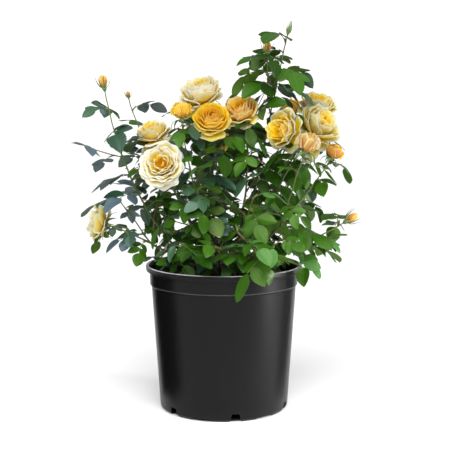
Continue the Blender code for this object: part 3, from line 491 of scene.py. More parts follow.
# One shoot of the plan.
# host, start: "crown" with the foot's (turn, lift) in degrees, or another shoot with the share along it.
# leave, tip, arrive: (turn, lift, pull) of the course at its start, where it ends, and the same at its end.
# split: share of a crown shoot that is bare cane.  end, size: what it carries, and the radius of that.
# leaves, span, leaf: how many leaves, between which shares, and their length.
# turn, step, droop: which way the first leaf points, the turn from each to the next, and how far they hang.
Shoot = namedtuple(
    "Shoot", "name host start leave tip arrive split end size leaves span leaf turn step droop",
    defaults=(0.0, "leaf", 0.0, 5, (0.1, 0.85), 0.095, 0, 144, 1.0))
PLAN = [
    # left side
    Shoot("far_left", "crown", (170, 4), (178, 26, 1.0), (-0.211, 0.0, 0.576), (172, 80, 1.0), split=0.4,
          end="bud", size=0.0085, leaves=6, span=(0.04, 0.8), leaf=0.098, turn=20, step=158, droop=0.5),
    Shoot("left_low", "crown", (202, 4), (195, 24, 0.9), (-0.212, -0.03, 0.335), (182, 10, 0.6), split=0.55,
          end="bloom", size=0.032, leaves=3, span=(0.05, 0.8), leaf=0.085, turn=260),
    Shoot("left_low_leafy", "left_low", 0.52, (150, 40, 0.6), (-0.198, 0.01, 0.382), (175, 30, 0.5),
          leaves=3, span=(0.25, 0.95), leaf=0.092, turn=200),
    Shoot("left_front", "crown", (215, 38), (215, 52, 0.9), (-0.104, -0.074, 0.44), (262, 25, 0.5),
          split=0.45, end="bloom", size=0.037, leaves=3, span=(0.02, 0.8), leaf=0.095, turn=210),
    Shoot("left_back", "crown", (168, 38), (165, 55, 0.9), (-0.126, 0.03, 0.484), (230, 70, 0.7),
          split=0.45, end="bloom", size=0.032, leaves=3, span=(0.02, 0.85), leaf=0.09, turn=60),
    Shoot("left_bud", "left_back", 0.34, (118, 48, 0.9), (-0.1738, 0.064, 0.557), (170, 80, 0.8), end="bud",
          size=0.0045, leaves=4, span=(0.22, 0.88), leaf=0.088, turn=330, droop=0.6),
    Shoot("rim_left", "left_low", 0.16, (215, 10, 0.8), (-0.11, -0.055, 0.278), (200, 10, 0.7), leaves=3,
          span=(0.25, 0.98), leaf=0.085, turn=180),
    # middle
    Shoot("mid_left", "crown", (255, 38), (215, 66, 0.9), (-0.0726, -0.03, 0.523), (120, 84, 0.9),
          split=0.36, end="half", size=0.016, leaves=4, span=(0.02, 0.88), leaf=0.1, turn=250),
    Shoot("middle", "crown", (290, 38), (265, 72, 0.9), (-0.02, -0.042, 0.512), (268, 42, 0.5), split=0.3,
          end="bloom", size=0.033, leaves=5, span=(0.02, 0.9), leaf=0.108, turn=300),
    Shoot("middle_back", "crown", (125, 38), (130, 75, 0.9), (-0.038, 0.036, 0.553), (240, 66, 0.8),
          split=0.4, end="bloom", size=0.04, leaves=4, span=(0.05, 0.88), leaf=0.1, turn=100),
    Shoot("mid_right", "crown", (325, 38), (315, 66, 0.9), (0.033, 0.0, 0.524), (240, 50, 0.7), split=0.5,
          end="bloom", size=0.032, leaves=3, span=(0.05, 0.85), leaf=0.105, turn=340),
    # right side
    Shoot("tall", "crown", (40, 38), (10, 68, 1.0), (0.1148, 0.03, 0.672), (10, 76, 1.0), split=0.38,
          end="tight", size=0.0055, leaves=9, span=(0.12, 0.92), leaf=0.112, turn=200, step=137, droop=0.8),
    Shoot("tall_side", "tall", 0.66, (190, 70, 0.6), (0.0769, 0.0, 0.637), (120, 85, 0.6), end="bud",
          size=0.0075, leaves=4, span=(0.2, 0.84), leaf=0.098, turn=220, droop=0.8),
    Shoot("right_upper", "crown", (0, 38), (350, 58, 1.0), (0.16, -0.02, 0.5), (318, 40, 0.5), split=0.45,
          end="bloom", size=0.039, leaves=3, span=(0.02, 0.85), leaf=0.1, turn=80),
    Shoot("right_back", "right_upper", 0.42, (60, 60, 0.6), (0.17, 0.06, 0.533), (300, 68, 0.6),
          end="bloom", size=0.035, leaves=3, span=(0.25, 0.85), leaf=0.095, turn=10),
    Shoot("right_inner", "tall", 0.3, (30, 50, 0.9), (0.126, 0.085, 0.525), (170, 50, 0.6), end="bloom",
          size=0.026, leaves=3, span=(0.15, 0.88), leaf=0.1, turn=60),
    Shoot("right_face", "mid_right", 0.47, (330, 60, 0.6), (0.112, -0.048, 0.5), (215, 8, 0.4), end="bloom",
          size=0.036, leaves=2, span=(0.2, 0.8), leaf=0.1, turn=300),
    Shoot("right_outer", "crown", (325, 4), (335, 42, 0.9), (0.19, -0.036, 0.455), (340, 60, 0.7),
          split=0.45, end="half", size=0.0135, leaves=4, span=(0.02, 0.85), leaf=0.1, turn=330),
    Shoot("right_half", "right_outer", 0.43, (300, 65, 0.6), (0.14, -0.085, 0.47), (330, 70, 0.6),
          end="half", size=0.0175, leaves=2, span=(0.15, 0.85), leaf=0.1, turn=200),
    Shoot("right_low", "crown", (357, 4), (350, 20, 0.9), (0.222, 0.0, 0.338), (0, 32, 0.8), split=0.5,
          end="bud", size=0.009, leaves=3, span=(0.05, 0.8), leaf=0.095, turn=280),
    Shoot("right_sprawl", "right_low", 0.47, (330, 10, 0.6), (0.17, -0.05, 0.3), (345, -10, 0.6), leaves=4,
          span=(0.15, 0.98), leaf=0.105, turn=250),
    # low leafy shoots in front
    Shoot("front_left", "left_front", 0.14, (235, 30, 0.8), (-0.075, -0.095, 0.31), (225, 20, 0.7),
          leaves=4, span=(0.15, 0.98), leaf=0.105, turn=200),
    Shoot("front_centre", "crown", (256, 4), (262, 40, 0.8), (-0.004, -0.122, 0.303), (268, 5, 0.7),
          split=0.3, leaves=5, span=(0.05, 0.98), leaf=0.11, turn=250, droop=1.2),
    Shoot("front_right", "crown", (292, 4), (295, 35, 0.8), (0.07, -0.124, 0.292), (300, 0, 0.7), split=0.3,
          leaves=5, span=(0.05, 0.98), leaf=0.115, turn=290, droop=1.2),
    Shoot("inner_front", "mid_right", 0.16, (290, 50, 0.8), (0.05, -0.085, 0.385), (285, 50, 0.7), leaves=5,
          span=(0.15, 0.98), leaf=0.115, turn=270),
    Shoot("inner_left", "mid_left", 0.16, (235, 50, 0.8), (-0.045, -0.08, 0.4), (230, 60, 0.7), leaves=4,
          span=(0.15, 0.98), leaf=0.105, turn=260),
    # back
    Shoot("back_left", "crown", (134, 4), (130, 40, 0.9), (-0.11, 0.135, 0.44), (125, 60, 0.7), split=0.4,
          end="bloom", size=0.038, leaves=4, span=(0.02, 0.88), leaf=0.105, turn=90),
    Shoot("back_centre", "crown", (84, 38), (90, 60, 0.9), (0.0, 0.15, 0.475), (90, 50, 0.7), split=0.4,
          end="bloom", size=0.038, leaves=4, span=(0.02, 0.88), leaf=0.105, turn=30),
    Shoot("back_right", "crown", (48, 4), (55, 40, 0.9), (0.125, 0.135, 0.405), (50, 55, 0.7), split=0.4,
          end="half", size=0.017, leaves=4, span=(0.02, 0.88), leaf=0.105, turn=100),
    Shoot("back_low", "crown", (92, 4), (95, 25, 0.9), (-0.02, 0.15, 0.31), (90, 20, 0.7), split=0.35,
          leaves=4, span=(0.02, 0.98), leaf=0.105, turn=60),
    Shoot("back_low_right", "back_right", 0.16, (20, 20, 0.9), (0.135, 0.075, 0.32), (30, 20, 0.7),
          leaves=4, span=(0.15, 0.98), leaf=0.105, turn=20),
    Shoot("back_low_left", "back_left", 0.16, (165, 20, 0.9), (-0.13, 0.08, 0.33), (150, 20, 0.7), leaves=4,
          span=(0.15, 0.98), leaf=0.105, turn=150),
]


def heading(turn, lift):
    """Unit vector from a turn about the plant and a lift above the level, in degrees."""
    turn = math.radians(turn)
    lift = math.radians(lift)
    return Vector((math.cos(lift) * math.cos(turn), math.cos(lift) * math.sin(turn), math.sin(lift)))


def squared(out, along):
    """The part of out that is square to along."""
    return out - along * out.dot(along)


def basis(forward, up):
    """Turning whose X is forward and whose Z leans as near to up as it can."""
    x = forward.normalized()
    z = squared(up, x).normalized()
    return Matrix((x, z.cross(x), z)).transposed()


class Arc:
    """A smooth line that leaves start along leave and reaches end along arrive."""

    def __init__(self, start, leave, end, arrive):
        self.start = start
        self.leave = leave
        self.end = end
        self.arrive = arrive

    def point(self, t):
        from_start = 2 * t ** 3 - 3 * t ** 2 + 1
        from_leave = t ** 3 - 2 * t ** 2 + t
        from_arrive = t ** 3 - t ** 2
        middle = self.start * from_start + self.leave * from_leave + self.end * (1 - from_start)
        return middle + self.arrive * from_arrive


class Course(Arc):
    """Middle line and radius of one shoot, from its foot to the base of its flower."""

    def __init__(self, start, leave, end, arrive, foot_radius):
        super().__init__(start, leave, end, arrive)
        self.foot_radius = foot_radius
        self.length = sum((self.point(k / 20) - self.point(k / 20 + 0.05)).length for k in range(20))

    def along(self, t):
        return (self.point(min(t + 0.01, 1.0)) - self.point(max(t - 0.01, 0.0))).normalized()

    def radius(self, t):
        return TIP_RADIUS + (self.foot_radius - TIP_RADIUS) * (1 - t) ** 1.5


courses = {}
for plot in PLAN:
    if plot.host == "crown":
        out = heading(*plot.start)
        start = Vector((out.x * CROWN_RADIUS, out.y * CROWN_RADIUS, out.z * CROWN_HEIGHT))
        normal = Vector((out.x / CROWN_RADIUS, out.y / CROWN_RADIUS, out.z / CROWN_HEIGHT)).normalized()
        start = start + normal * GAP + Vector((0, 0, SOIL_MOUND + CROWN_SKIRT))
        foot_radius = LEAFY_RADIUS if plot.end == "leaf" else CANE_RADIUS
    else:
        host = courses[plot.host]
        normal = squared(heading(plot.leave[0], 0), host.along(plot.start)).normalized()
        start = host.point(plot.start) + normal * (host.radius(plot.start) + GAP)
        foot_radius = min(SIDE_RADIUS, host.radius(plot.start) * 0.9)
    tip = Vector(plot.tip)
    chord = (tip - start).length
    leave, arrive = (heading(turn, lift) * chord * pull for turn, lift, pull in (plot.leave, plot.arrive))
    courses[plot.name] = Course(start, leave, tip, arrive, foot_radius)

# No leaf or twig touches the pot, the soil, another shoot, a flower or another leaf.  What stands already is
# kept as plain closed spaces, and every new leaf is tried against them.
LEAF_WIDTH = 0.33
LEAF_THICKNESS = 0.0010
LEAF_SAG = 0.10
LEAF_SPACE = 0.0012          # half the height of the space that a leaflet keeps
STALK_SHARE = 0.56           # of a leaf's length
STALK_PULL = 1.1             # how strongly a stalk keeps to the way it leaves its stem
STALK_RADIUS = 0.0008
STALK_SPACE = 0.0015
ROOT_SHARE = 0.022           # of the stalk's length, to each side of where a leaflet is joined
SIDE_WAY = Vector((0.31, 0.17, 0.93))       # the first side of a limb is turned from it
FLOWER_UP = Vector((0.2, 0.1, 0.97))
GOLDEN_TURN = 137.5
TRIES = 9
MOST_SPACES = 9000
LEAFLET_SPOTS = {
    # pairs: for each, the share of the stalk where it sits, and its length as a share of the leaf's
    2: ((0.42, 0.34), (0.73, 0.42)),
    1: ((0.58, 0.40),),
}
TIP_PART = 0.50
FLOWER_ROWS = {
    # (distance along the flower's axis, radius), both in its own radii
    "bloom": ((-0.22, 0.09), (-0.10, 0.15), (0.08, 0.30), (0.26, 0.84), (0.42, 1.00), (0.70, 0.90),
              (0.98, 0.62), (1.08, 0.24)),
    "half": ((-0.45, 0.16), (-0.22, 0.34), (0.15, 0.80), (0.80, 1.00), (1.50, 0.92), (1.90, 0.50)),
    "bud": ((-0.80, 0.22), (-0.45, 0.52), (0.10, 0.95), (0.70, 1.00), (1.60, 0.62), (2.30, 0.10)),
    "tight": ((-0.80, 0.22), (-0.45, 0.56), (0.10, 0.95), (0.70, 0.90), (1.70, 0.42), (3.60, 0.06)),
}
FLOWER_RUFFLE = {"bloom": 0.07, "half": 0.04, "bud": 0.0, "tight": 0.0}
FLOWER_SPACE = 1.03          # how much larger a flower's space is than the flower
FLOWER_SIDES = 12


def skin(corners, sides):
    """Faces over rings of corners, closed at both ends."""
    faces = []
    for first in range(0, len(corners) - sides, sides):
        for side in range(sides):
            here, beside = first + side, first + (side + 1) % sides
            faces.append((here, beside, beside + sides, here + sides))
    return faces + [tuple(reversed(range(sides))), tuple(range(len(corners) - sides, len(corners)))]


def tube(points, radii, sides):
    """Tapering space along points."""
    corners = []
    for place, point in enumerate(points):
        ahead = points[min(place + 1, len(points) - 1)] - points[max(place - 1, 0)]
        in_line = abs(ahead.normalized().dot(SIDE_WAY)) >= 0.97
        turning = basis(ahead, Vector((1, 0, 0)) if in_line else SIDE_WAY)
        corners.extend(point + turning @ Vector((0, x, y)) * radii[place] for x, y in spokes(sides))
    return corners, skin(corners, sides)


def flower_space(course, kind, size):
    """A flower or bud as one ruffled, turned form along the last direction of its stem."""
    turning = basis(course.arrive, FLOWER_UP)
    corners = []
    for row, (far, wide) in enumerate(FLOWER_ROWS[kind]):
        for side in range(FLOWER_SIDES):
            angle = math.tau * (side + 0.5 * (row % 2)) / FLOWER_SIDES
            ruffle = 1 + FLOWER_RUFFLE[kind] * math.sin(angle * 5 + row * 1.7)
            spoke = Vector((0, math.cos(angle), math.sin(angle))) * wide * ruffle
            corners.append(course.end + turning @ (Vector((far, 0, 0)) + spoke) * size)
    return corners, skin(corners, FLOWER_SIDES)


def leaflet_space(place, turning, length):
    """The flat oval that a leaflet keeps to itself, a little larger than the leaflet."""
    corners = []
    for share, wide in ((0.05, 0.20), (0.20, 0.84), (0.45, 1.04), (0.75, 0.78), (1.02, 0.06)):
        for side, level in ((1, LEAF_SPACE), (-1, LEAF_SPACE), (-1, -LEAF_SPACE), (1, -LEAF_SPACE)):
            sag = length * LEAF_SAG * share ** 2
            flat = Vector((length * share, length * LEAF_WIDTH * wide * side, level - sag))
            corners.append(place + turning @ flat)
    return corners, skin(corners, 4)


def leaflet_blade(place, turning, length):
    """A leaflet's blade clear of its own root, as a flat kite with an upper and an under face."""
    corners = []
    for level in (LEAF_THICKNESS, -LEAF_THICKNESS):
        for x, y in ((0.06, 0), (0.42, 0.34), (1.0, 0), (0.42, -0.34)):
            flat = Vector((length * x, length * y, level - LEAF_SAG * length * x * x))
            corners.append(place + turning @ flat)
    return corners, [(0, 1, 3), (1, 2, 3), (4, 5, 7), (5, 6, 7)]


class Leaf(Arc):
    """A rose leaf: a stalk that rises and arches over, with leaflets in pairs and one at the tip."""

    def __init__(self, course, t, turn, size, pairs, droop, draw):
        along = course.along(t)
        out = squared(heading(turn, 0), along)
        if out.length < 0.2:
            out = along.orthogonal()
        out.normalize()
        rise = math.radians(draw.uniform(15, 42))
        fall = math.radians(draw.uniform(14, 52)) * droop
        self.roll = Matrix.Rotation(math.radians(draw.uniform(-32, 32)), 3, "X")
        leave = out * math.cos(rise) + along * math.sin(rise)
        level = Vector((out.x, out.y, max(out.z, -0.2) * 0.4))
        if level.length < 0.3:
            level = out.copy()
        arrive = level.normalized() * math.cos(fall) - Vector((0, 0, math.sin(fall)))
        stalk = size * STALK_SHARE
        start = course.point(t)
        end = start + (leave + arrive).normalized() * (stalk + course.radius(t))
        super().__init__(start, leave * stalk * STALK_PULL, end, arrive * stalk * STALK_PULL)
        self.spots = LEAFLET_SPOTS[pairs]
        self.leaflets = {}
        for side in (1, -1):
            sink = draw.uniform(0, 26) * droop
            for spot, (share, part) in enumerate(self.spots):
                swing = Matrix.Rotation(math.radians(draw.uniform(54, 66)) * side, 3, "Z")
                tilt = Matrix.Rotation(math.radians(sink + draw.uniform(-3, 3)), 3, "Y")
                length = size * part * draw.uniform(0.92, 1.08)
                self.leaflets[(spot, side)] = (self.point(share), self.turning(share) @ swing @ tilt, length)
        tilt = Matrix.Rotation(math.radians(draw.uniform(-4, 20)) * droop, 3, "Y")
        length = size * TIP_PART * draw.uniform(0.94, 1.06)
        self.leaflets["tip"] = (self.end - arrive * 0.001, self.turning(1.0) @ tilt, length)

    def turning(self, share):
        along = self.point(share + 0.03) - self.point(share - 0.03)
        return basis(along, Vector((0, 0, 1))) @ self.roll

    def stalk_space(self, first, last=1.0):
        shares = [first + (last - first) * number / 4 for number in range(5)]
        return tube([self.point(share) for share in shares], [STALK_SPACE] * 5, 3)

    def shape(self):
        """The leaf as one thin solid: a three-sided stalk whose flanks are drawn out into the leaflets."""
        rings = [(0.0, None)]
        for spot, (share, part) in enumerate(self.spots):
            rings.extend([(share - ROOT_SHARE, spot), (share + ROOT_SHARE, None)])
        rings.append((1.0, None))
        corners = []
        for share, spot in rings:
            for side, level in ((1, 0.7), (-1, 0.7), (0, -1)):
                out = self.turning(share) @ Vector((0, side, level)) * STALK_RADIUS
                corners.append(self.point(share) + out)
        faces = [(0, 1, 2)]
        for ring, (share, spot) in enumerate(rings[:-1]):
            near, far = 3 * ring, 3 * ring + 3
            faces.append((near, near + 1, far + 1, far))
            for side, top in ((1, 0), (-1, 1)):
                root = (near + top, far + top, far + 2, near + 2)
                if (spot, side) in self.leaflets:
                    draw_out(corners, faces, root, self.leaflets[(spot, side)], side)
                else:
                    faces.append(root)
        last = 3 * len(rings) - 3
        if "tip" in self.leaflets:
            draw_out(corners, faces, (last, last + 1, last + 2, last + 2), self.leaflets["tip"], 1)
        else:
            faces.append((last, last + 1, last + 2))
        return corners, faces


def draw_out(corners, faces, root, leaflet, side):
    """A leaflet drawn out of the four corners of its root: two shoulders, a tip and a thicker middle."""
    place, turning, length = leaflet
    half = max(LEAF_THICKNESS, length / 50) / 2
    first = len(corners)
    for x, y, z in ((0.42, 0.32 * side, 0), (0.42, -0.32 * side, 0), (1.0, 0, 0),
                    (0.40, 0, half), (0.40, 0, -half)):
        corners.append(place + turning @ Vector((length * x, length * y, z - LEAF_SAG * length * x * x)))
    near, far, tip, upper, under = range(first, first + 5)
    near_top, far_top, far_low, near_low = root
    faces.extend([(near_top, far_top, upper), (far_top, far, upper), (far, tip, upper), (tip, near, upper),
                  (near, near_top, upper), (far_low, under, far), (far, under, tip), (tip, under, near),
                  (near, under, near_low), (near_top, near, near_low), (far_top, far_low, far)])
    if near_low != far_low:
        faces.append((near_low, under, far_low))


def crosses_itself(corners, faces):
    tree = BVHTree.FromPolygons(corners, faces)
    return any(not set(faces[one]) & set(faces[other]) for one, other in tree.overlap(tree))


class Standing:
    """Everything that no leaf may touch, each with its owner and with the box that it lies in."""

    def __init__(self):
        self.owners = []
        self.trees = []
        self.lows = np.zeros((MOST_SPACES, 3))
        self.highs = np.zeros((MOST_SPACES, 3))

    def add(self, owner, corners, faces):
        spots = np.array(corners)
        self.lows[len(self.owners)] = spots.min(0)
        self.highs[len(self.owners)] = spots.max(0)
        self.owners.append(owner)
        self.trees.append(BVHTree.FromPolygons(corners, faces))

    def touches(self, corners, faces, spare=""):
        """Whether a shape meets anything that is not its own shoot's."""
        spots = np.array(corners)
        count = len(self.owners)
        beside = (self.lows[:count] <= spots.max(0)) & (self.highs[:count] >= spots.min(0))
        near = [place for place in np.nonzero(beside.all(1))[0] if self.owners[place] != spare]
        tree = BVHTree.FromPolygons(corners, faces) if near else None
        return any(tree.overlap(self.trees[place]) for place in near)


standing = Standing()
standing.add("pot", *lathe((
    (0.0, SOIL_EDGE), (COLLAR_RADIUS - 0.006, SOIL_EDGE), (COLLAR_RADIUS - 0.004, POT_HEIGHT + 0.001),
    (LIP_RADIUS + 0.001, POT_HEIGHT + 0.001), (LIP_RADIUS + 0.001, POT_HEIGHT - LIP_DEPTH - 0.001),
    (COLLAR_RADIUS + 0.001, POT_HEIGHT - LIP_DEPTH - 0.002),
    (COLLAR_RADIUS + 0.001, POT_HEIGHT - COLLAR_DEPTH), (FOOT_RADIUS + 0.001, 0.0), (0.0, 0.0)), 32))
standing.add("soil", *lathe((
    (0.0, SOIL_EDGE + 0.001), (LIP_RADIUS, SOIL_EDGE + 0.001), (CROWN_RADIUS, SOIL_MOUND + 0.001),
    (CROWN_RADIUS, SOIL_MOUND + 0.006), (CROWN_RADIUS * 0.75, SOIL_MOUND + 0.022), (0.002, CROWN_TOP),
    (0.0, CROWN_TOP)), 24))
for plot in PLAN:
    course = courses[plot.name]
    shares = [number / 16 for number in range(17)]
    radii = [course.radius(t) + 0.0008 for t in shares]
    standing.add(plot.name, *tube([course.point(t) for t in shares], radii, 6))
    if plot.end != "leaf":
        standing.add("flower", *flower_space(course, plot.end, plot.size * FLOWER_SPACE))


def grow_leaf(owner, course, t, turn, size, pairs, droop, draw):
    """[(course, t, leaf)] with the best of some tries, less the leaflets that would touch, or [] for none."""
    best = None
    best_kept = {}
    for attempt in range(TRIES):
        wobble = draw.uniform(-14, 14) * (1 + attempt * 0.8)
        leaf = Leaf(course, t, turn + wobble, size * (1 - 0.03 * attempt), pairs, droop, draw)
        if standing.touches(*leaf.stalk_space(0.1), spare=owner):
            continue
        kept = {}
        blades = [BVHTree.FromPolygons(*leaf.stalk_space(0.0, 0.96))]
        for spot, leaflet in leaf.leaflets.items():
            blade = BVHTree.FromPolygons(*leaflet_blade(*leaflet))
            space = leaflet_space(*leaflet)
            if not any(blade.overlap(tree) for tree in blades) and not standing.touches(*space):
                kept[spot] = space
                blades.append(blade)
        whole = len(kept) == len(leaf.leaflets)
        leaf.leaflets = {spot: leaf.leaflets[spot] for spot in kept}
        if len(kept) > len(best_kept) and not crosses_itself(*leaf.shape()):
            best = leaf
            best_kept = kept
            if whole:
                break
    if len(best_kept) < 2:
        return []
    standing.add(owner, *best.stalk_space(0.0))
    for space in best_kept.values():
        standing.add(owner + " leaf", *space)
    return [(course, t, best)]


grown = {}
for plot in PLAN:
    draw = random.Random(plot.name)
    turn = plot.turn
    grown[plot.name] = []
    for place in range(plot.leaves):
        share = plot.span[0] + (plot.span[1] - plot.span[0]) * place / (plot.leaves - 1)
        shrink = 0.15 * share if plot.end == "leaf" else 0.32 * share ** 2
        pairs = 2 if share < 0.85 or plot.end == "leaf" else 1
        t = plot.split + (1 - plot.split) * share
        size = plot.leaf * (1 - shrink)
        grown[plot.name] += grow_leaf(plot.name, courses[plot.name], t, turn, size, pairs, plot.droop, draw)
        turn += plot.step + draw.uniform(-8, 8)

# Finer growth between those leaves, by the same rule: (leaves on the shoot itself, twigs, leaves on each).
FILL = {
    "far_left": (4, 2, 2), "left_low": (2, 1, 2), "left_low_leafy": (2, 1, 2), "left_bud": (2, 1, 2),
    "left_back": (3, 2, 2), "left_front": (2, 2, 2), "tall": (8, 5, 3), "tall_side": (3, 2, 2),
    "right_low": (2, 1, 2), "right_outer": (2, 1, 2), "right_half": (2, 2, 2), "right_sprawl": (2, 1, 2),
    "mid_left": (4, 4, 3), "right_upper": (3, 3, 2), "right_face": (3, 3, 2), "right_back": (3, 2, 2),
}
FILL_OTHERS = (4, 5, 3)
TWIG_LENGTHS = (0.035, 0.075)
TWIG_RADIUS = 0.0011

fine_courses = []
for plot in PLAN:
    draw = random.Random("finer " + plot.name)
    host = courses[plot.name]
    own_leaves, twigs, twig_leaves = FILL.get(plot.name, FILL_OTHERS)
    turn = plot.turn + 70
    for place in range(own_leaves):
        t = plot.split + (1 - plot.split) * (0.04 + 0.86 * (place + draw.uniform(0.2, 0.8)) / own_leaves)
        size = plot.leaf * draw.uniform(0.60, 0.86)
        grown[plot.name] += grow_leaf(plot.name, host, t, turn, size, 2, plot.droop, draw)
        turn += GOLDEN_TURN
    for place in range(twigs):
        t = plot.split * 0.8 + (1 - plot.split * 0.8) * (0.85 * (place + draw.uniform(0.1, 0.9)) / twigs)
        turn += GOLDEN_TURN
        along = host.along(t)
        normal = squared(heading(turn, draw.uniform(0, 25)), along).normalized()
        length = draw.uniform(*TWIG_LENGTHS)
        leave = (normal + along * draw.uniform(0.5, 1.1)).normalized()
        arrive = (normal + Vector((0, 0, draw.uniform(0.2, 0.9)))).normalized()
        start = host.point(t) + normal * host.radius(t) * 0.6
        end = start + (leave + arrive).normalized() * length
        foot = min(TWIG_RADIUS * draw.uniform(1.0, 1.4), host.radius(t) * 0.8)
        course = Course(start, leave * length, end, arrive * length, foot)
        shares = [0.12 + 0.88 * number / 6 for number in range(7)]
        space = tube([course.point(share) for share in shares], [foot + 0.0006] * 7, 5)
        if standing.touches(*space, spare=plot.name):
            continue
        borne = []
        name = "%s twig %d" % (plot.name, place)
        for number in range(twig_leaves):
            share = 0.25 + 0.75 * number / max(1, twig_leaves - 1)
            size = plot.leaf * draw.uniform(0.56, 0.82)
            pairs = 2 if number else 1
            borne += grow_leaf(name, course, share, turn + 144 * number, size, pairs, plot.droop, draw)
        if borne:
            standing.add(name, *space)
            fine_courses.append((plot, course, t))
            grown[plot.name] += borne

TILE_HALF = 0.46             # of a tile's width, that a shell takes up to each side of its middle


class Heap:
    """Small shells gathered into one mesh.  Each finish has its own tile of a map four tiles wide."""

    def __init__(self):
        self.corners = []
        self.faces = []
        self.maps = []
        self.kinds = []
        self.count = 0

    def add(self, corners, faces, across, along, kinds):
        """across (-1 to 1) and along (0 to 1) say where each face's corners lie in the tile of its kind."""
        kinds = np.broadcast_to(kinds, len(faces))
        tile = np.stack((kinds % 4, kinds // 4), 1)[:, None, :]
        self.maps.append((tile + np.stack((0.5 + TILE_HALF * across, 0.02 + 0.96 * along), 2)) / 4)
        self.corners.append(corners)
        self.faces.append(faces + self.count)
        self.kinds.append(kinds)
        self.count += len(corners)

    def add_limb(self, points, radii, sides, kind, side_way=SIDE_WAY):
        """A round limb along points, capped at both ends."""
        points = np.array(points)
        radii = np.array(radii)
        ahead = np.gradient(points, axis=0)
        ahead /= np.linalg.norm(ahead, axis=1)[:, None]
        first = np.cross(ahead, np.array(side_way))
        first /= np.linalg.norm(first, axis=1)[:, None]
        second = np.cross(ahead, first)
        angle = np.arange(sides) * math.tau / sides
        ring = first[:, None] * np.cos(angle)[:, None] + second[:, None] * np.sin(angle)[:, None]
        corners = points[:, None] + ring * radii.reshape(len(points), -1, 1)
        row, side = np.meshgrid(np.arange(len(points) - 1), np.arange(sides), indexing="ij")
        here, beside = row * sides + side, row * sides + (side + 1) % sides
        faces = np.stack((here, beside, beside + sides, here + sides), 2).reshape(-1, 4)
        along = np.stack((row, row, row + 1, row + 1), 2).reshape(-1, 4) / (len(points) - 1)
        across = np.stack((side, side + 1, side + 1, side), 2).reshape(-1, 4) / sides * 2 - 1
        for end, order in ((0, -1), (len(points) - 1, 1)):
            cap = end * sides + np.arange(sides)[::order]
            fan = [(cap[0], cap[k], cap[k + 1], cap[min(k + 2, sides - 1)]) for k in range(1, sides - 2, 2)]
            fan = [face for face in fan if len(set(face)) == 4]
            faces = np.concatenate((faces, np.array(fan)))
            along = np.concatenate((along, np.full((len(fan), 4), min(end, 1.0))))
            across = np.concatenate((across, np.zeros((len(fan), 4))))
        self.add(corners.reshape(-1, 3), faces, across, along, kind)

    def add_sheet(self, points, thickness, upper, under):
        """A closed thin shell round a grid of points, with one kind of finish above and one below."""
        quads, across, along, turned = sheet_faces(*points.shape[:2])
        normal = np.cross(np.gradient(points, axis=0), np.gradient(points, axis=1))
        normal /= np.linalg.norm(normal, axis=2)[:, :, None] + 1e-12
        corners = np.concatenate(((points + normal * thickness / 2).reshape(-1, 3),
                                  (points - normal * thickness / 2).reshape(-1, 3)))
        self.add(corners, quads, across, along, np.where(turned, under, upper))

    def piece(self, name, finishes, slot, nodes):
        mesh = bpy.data.meshes.new(name)
        faces = np.concatenate(self.faces)
        mesh.vertices.add(self.count)
        mesh.vertices.foreach_set("co", np.concatenate(self.corners).ravel())
        mesh.loops.add(faces.size)
        mesh.loops.foreach_set("vertex_index", faces.ravel())
        mesh.polygons.add(len(faces))
        mesh.polygons.foreach_set("loop_start", np.arange(0, faces.size, 4))
        for finish in finishes:
            mesh.materials.append(finish)
        mesh.polygons.foreach_set("material_index", np.concatenate(self.kinds))
        mesh.uv_layers.new(name="OFBake").data.foreach_set("uv", np.concatenate(self.maps).ravel())
        mesh.update(calc_edges=True)
        mesh.shade_smooth()
        mesh.set_sharp_from_angle(angle=math.radians(62))
        piece = bring_in(name, mesh)
        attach(piece, "root")
        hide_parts(*nodes)


@lru_cache(maxsize=None)
def sheet_faces(rows, columns):
    """Faces of a shell round a grid, where their corners lie on it, and which of them are its under side."""
    quads = []
    places = []
    under = []
    size = rows * columns
    for row in range(rows - 1):
        for column in range(columns - 1):
            loop = ((row, column), (row + 1, column), (row + 1, column + 1), (row, column + 1))
            quads.append([r * columns + c for r, c in loop])
            quads.append([size + r * columns + c for r, c in reversed(loop)])
            places.extend([loop, loop[::-1]])
            under.extend([False, True])
    border = ([(0, column) for column in range(columns)] + [(row, columns - 1) for row in range(1, rows)]
              + [(rows - 1, column) for column in range(columns - 2, -1, -1)]
              + [(row, 0) for row in range(rows - 2, 0, -1)])
    for here, ahead in zip(border, border[1:] + border[:1]):
        near, far = here[0] * columns + here[1], ahead[0] * columns + ahead[1]
        quads.append([near, far, size + far, size + near])
        places.append((here, ahead, ahead, here))
        under.append(False)
    places = np.array(places, dtype=float)
    across = places[:, :, 1] / (columns - 1) * 2 - 1
    return np.array(quads), across, places[:, :, 0] / (rows - 1), np.array(under)


GROUPS = ("left", "middle", "right", "back")
STEM_STEP = 0.0035
SLIMMER = 0.78               # the rind is this much finer than the solid limb, which is cut plain
SWELL = 0.30                 # of a stem's radius, where a leaf or twig leaves it
SWELL_LENGTH = 0.0028
SWAY = 0.30
CANE_PRICKLES = 52           # to a metre
SHOOT_PRICKLES = 40
STIPULE_ROWS = ((0.01, 0.0012), (0.07, 0.0021), (0.14, 0.0022), (0.19, 0.0026), (0.24, 0.0034))
STIPULE_THICKNESS = 0.00025
RED_SHARE = 0.3              # of the leaves have red stalks
CANE, SHOOT_RIND, YOUNG, GREEN_STALK, RED_STALK, PRICKLE, STIPULE = range(7)


def group_of(plot):
    """The part of the bush that a shoot ends in."""
    x, y, z = plot.tip
    if y > 0.07:
        return "back"
    if x < -0.09:
        return "left"
    return "right" if x > 0.09 else "middle"


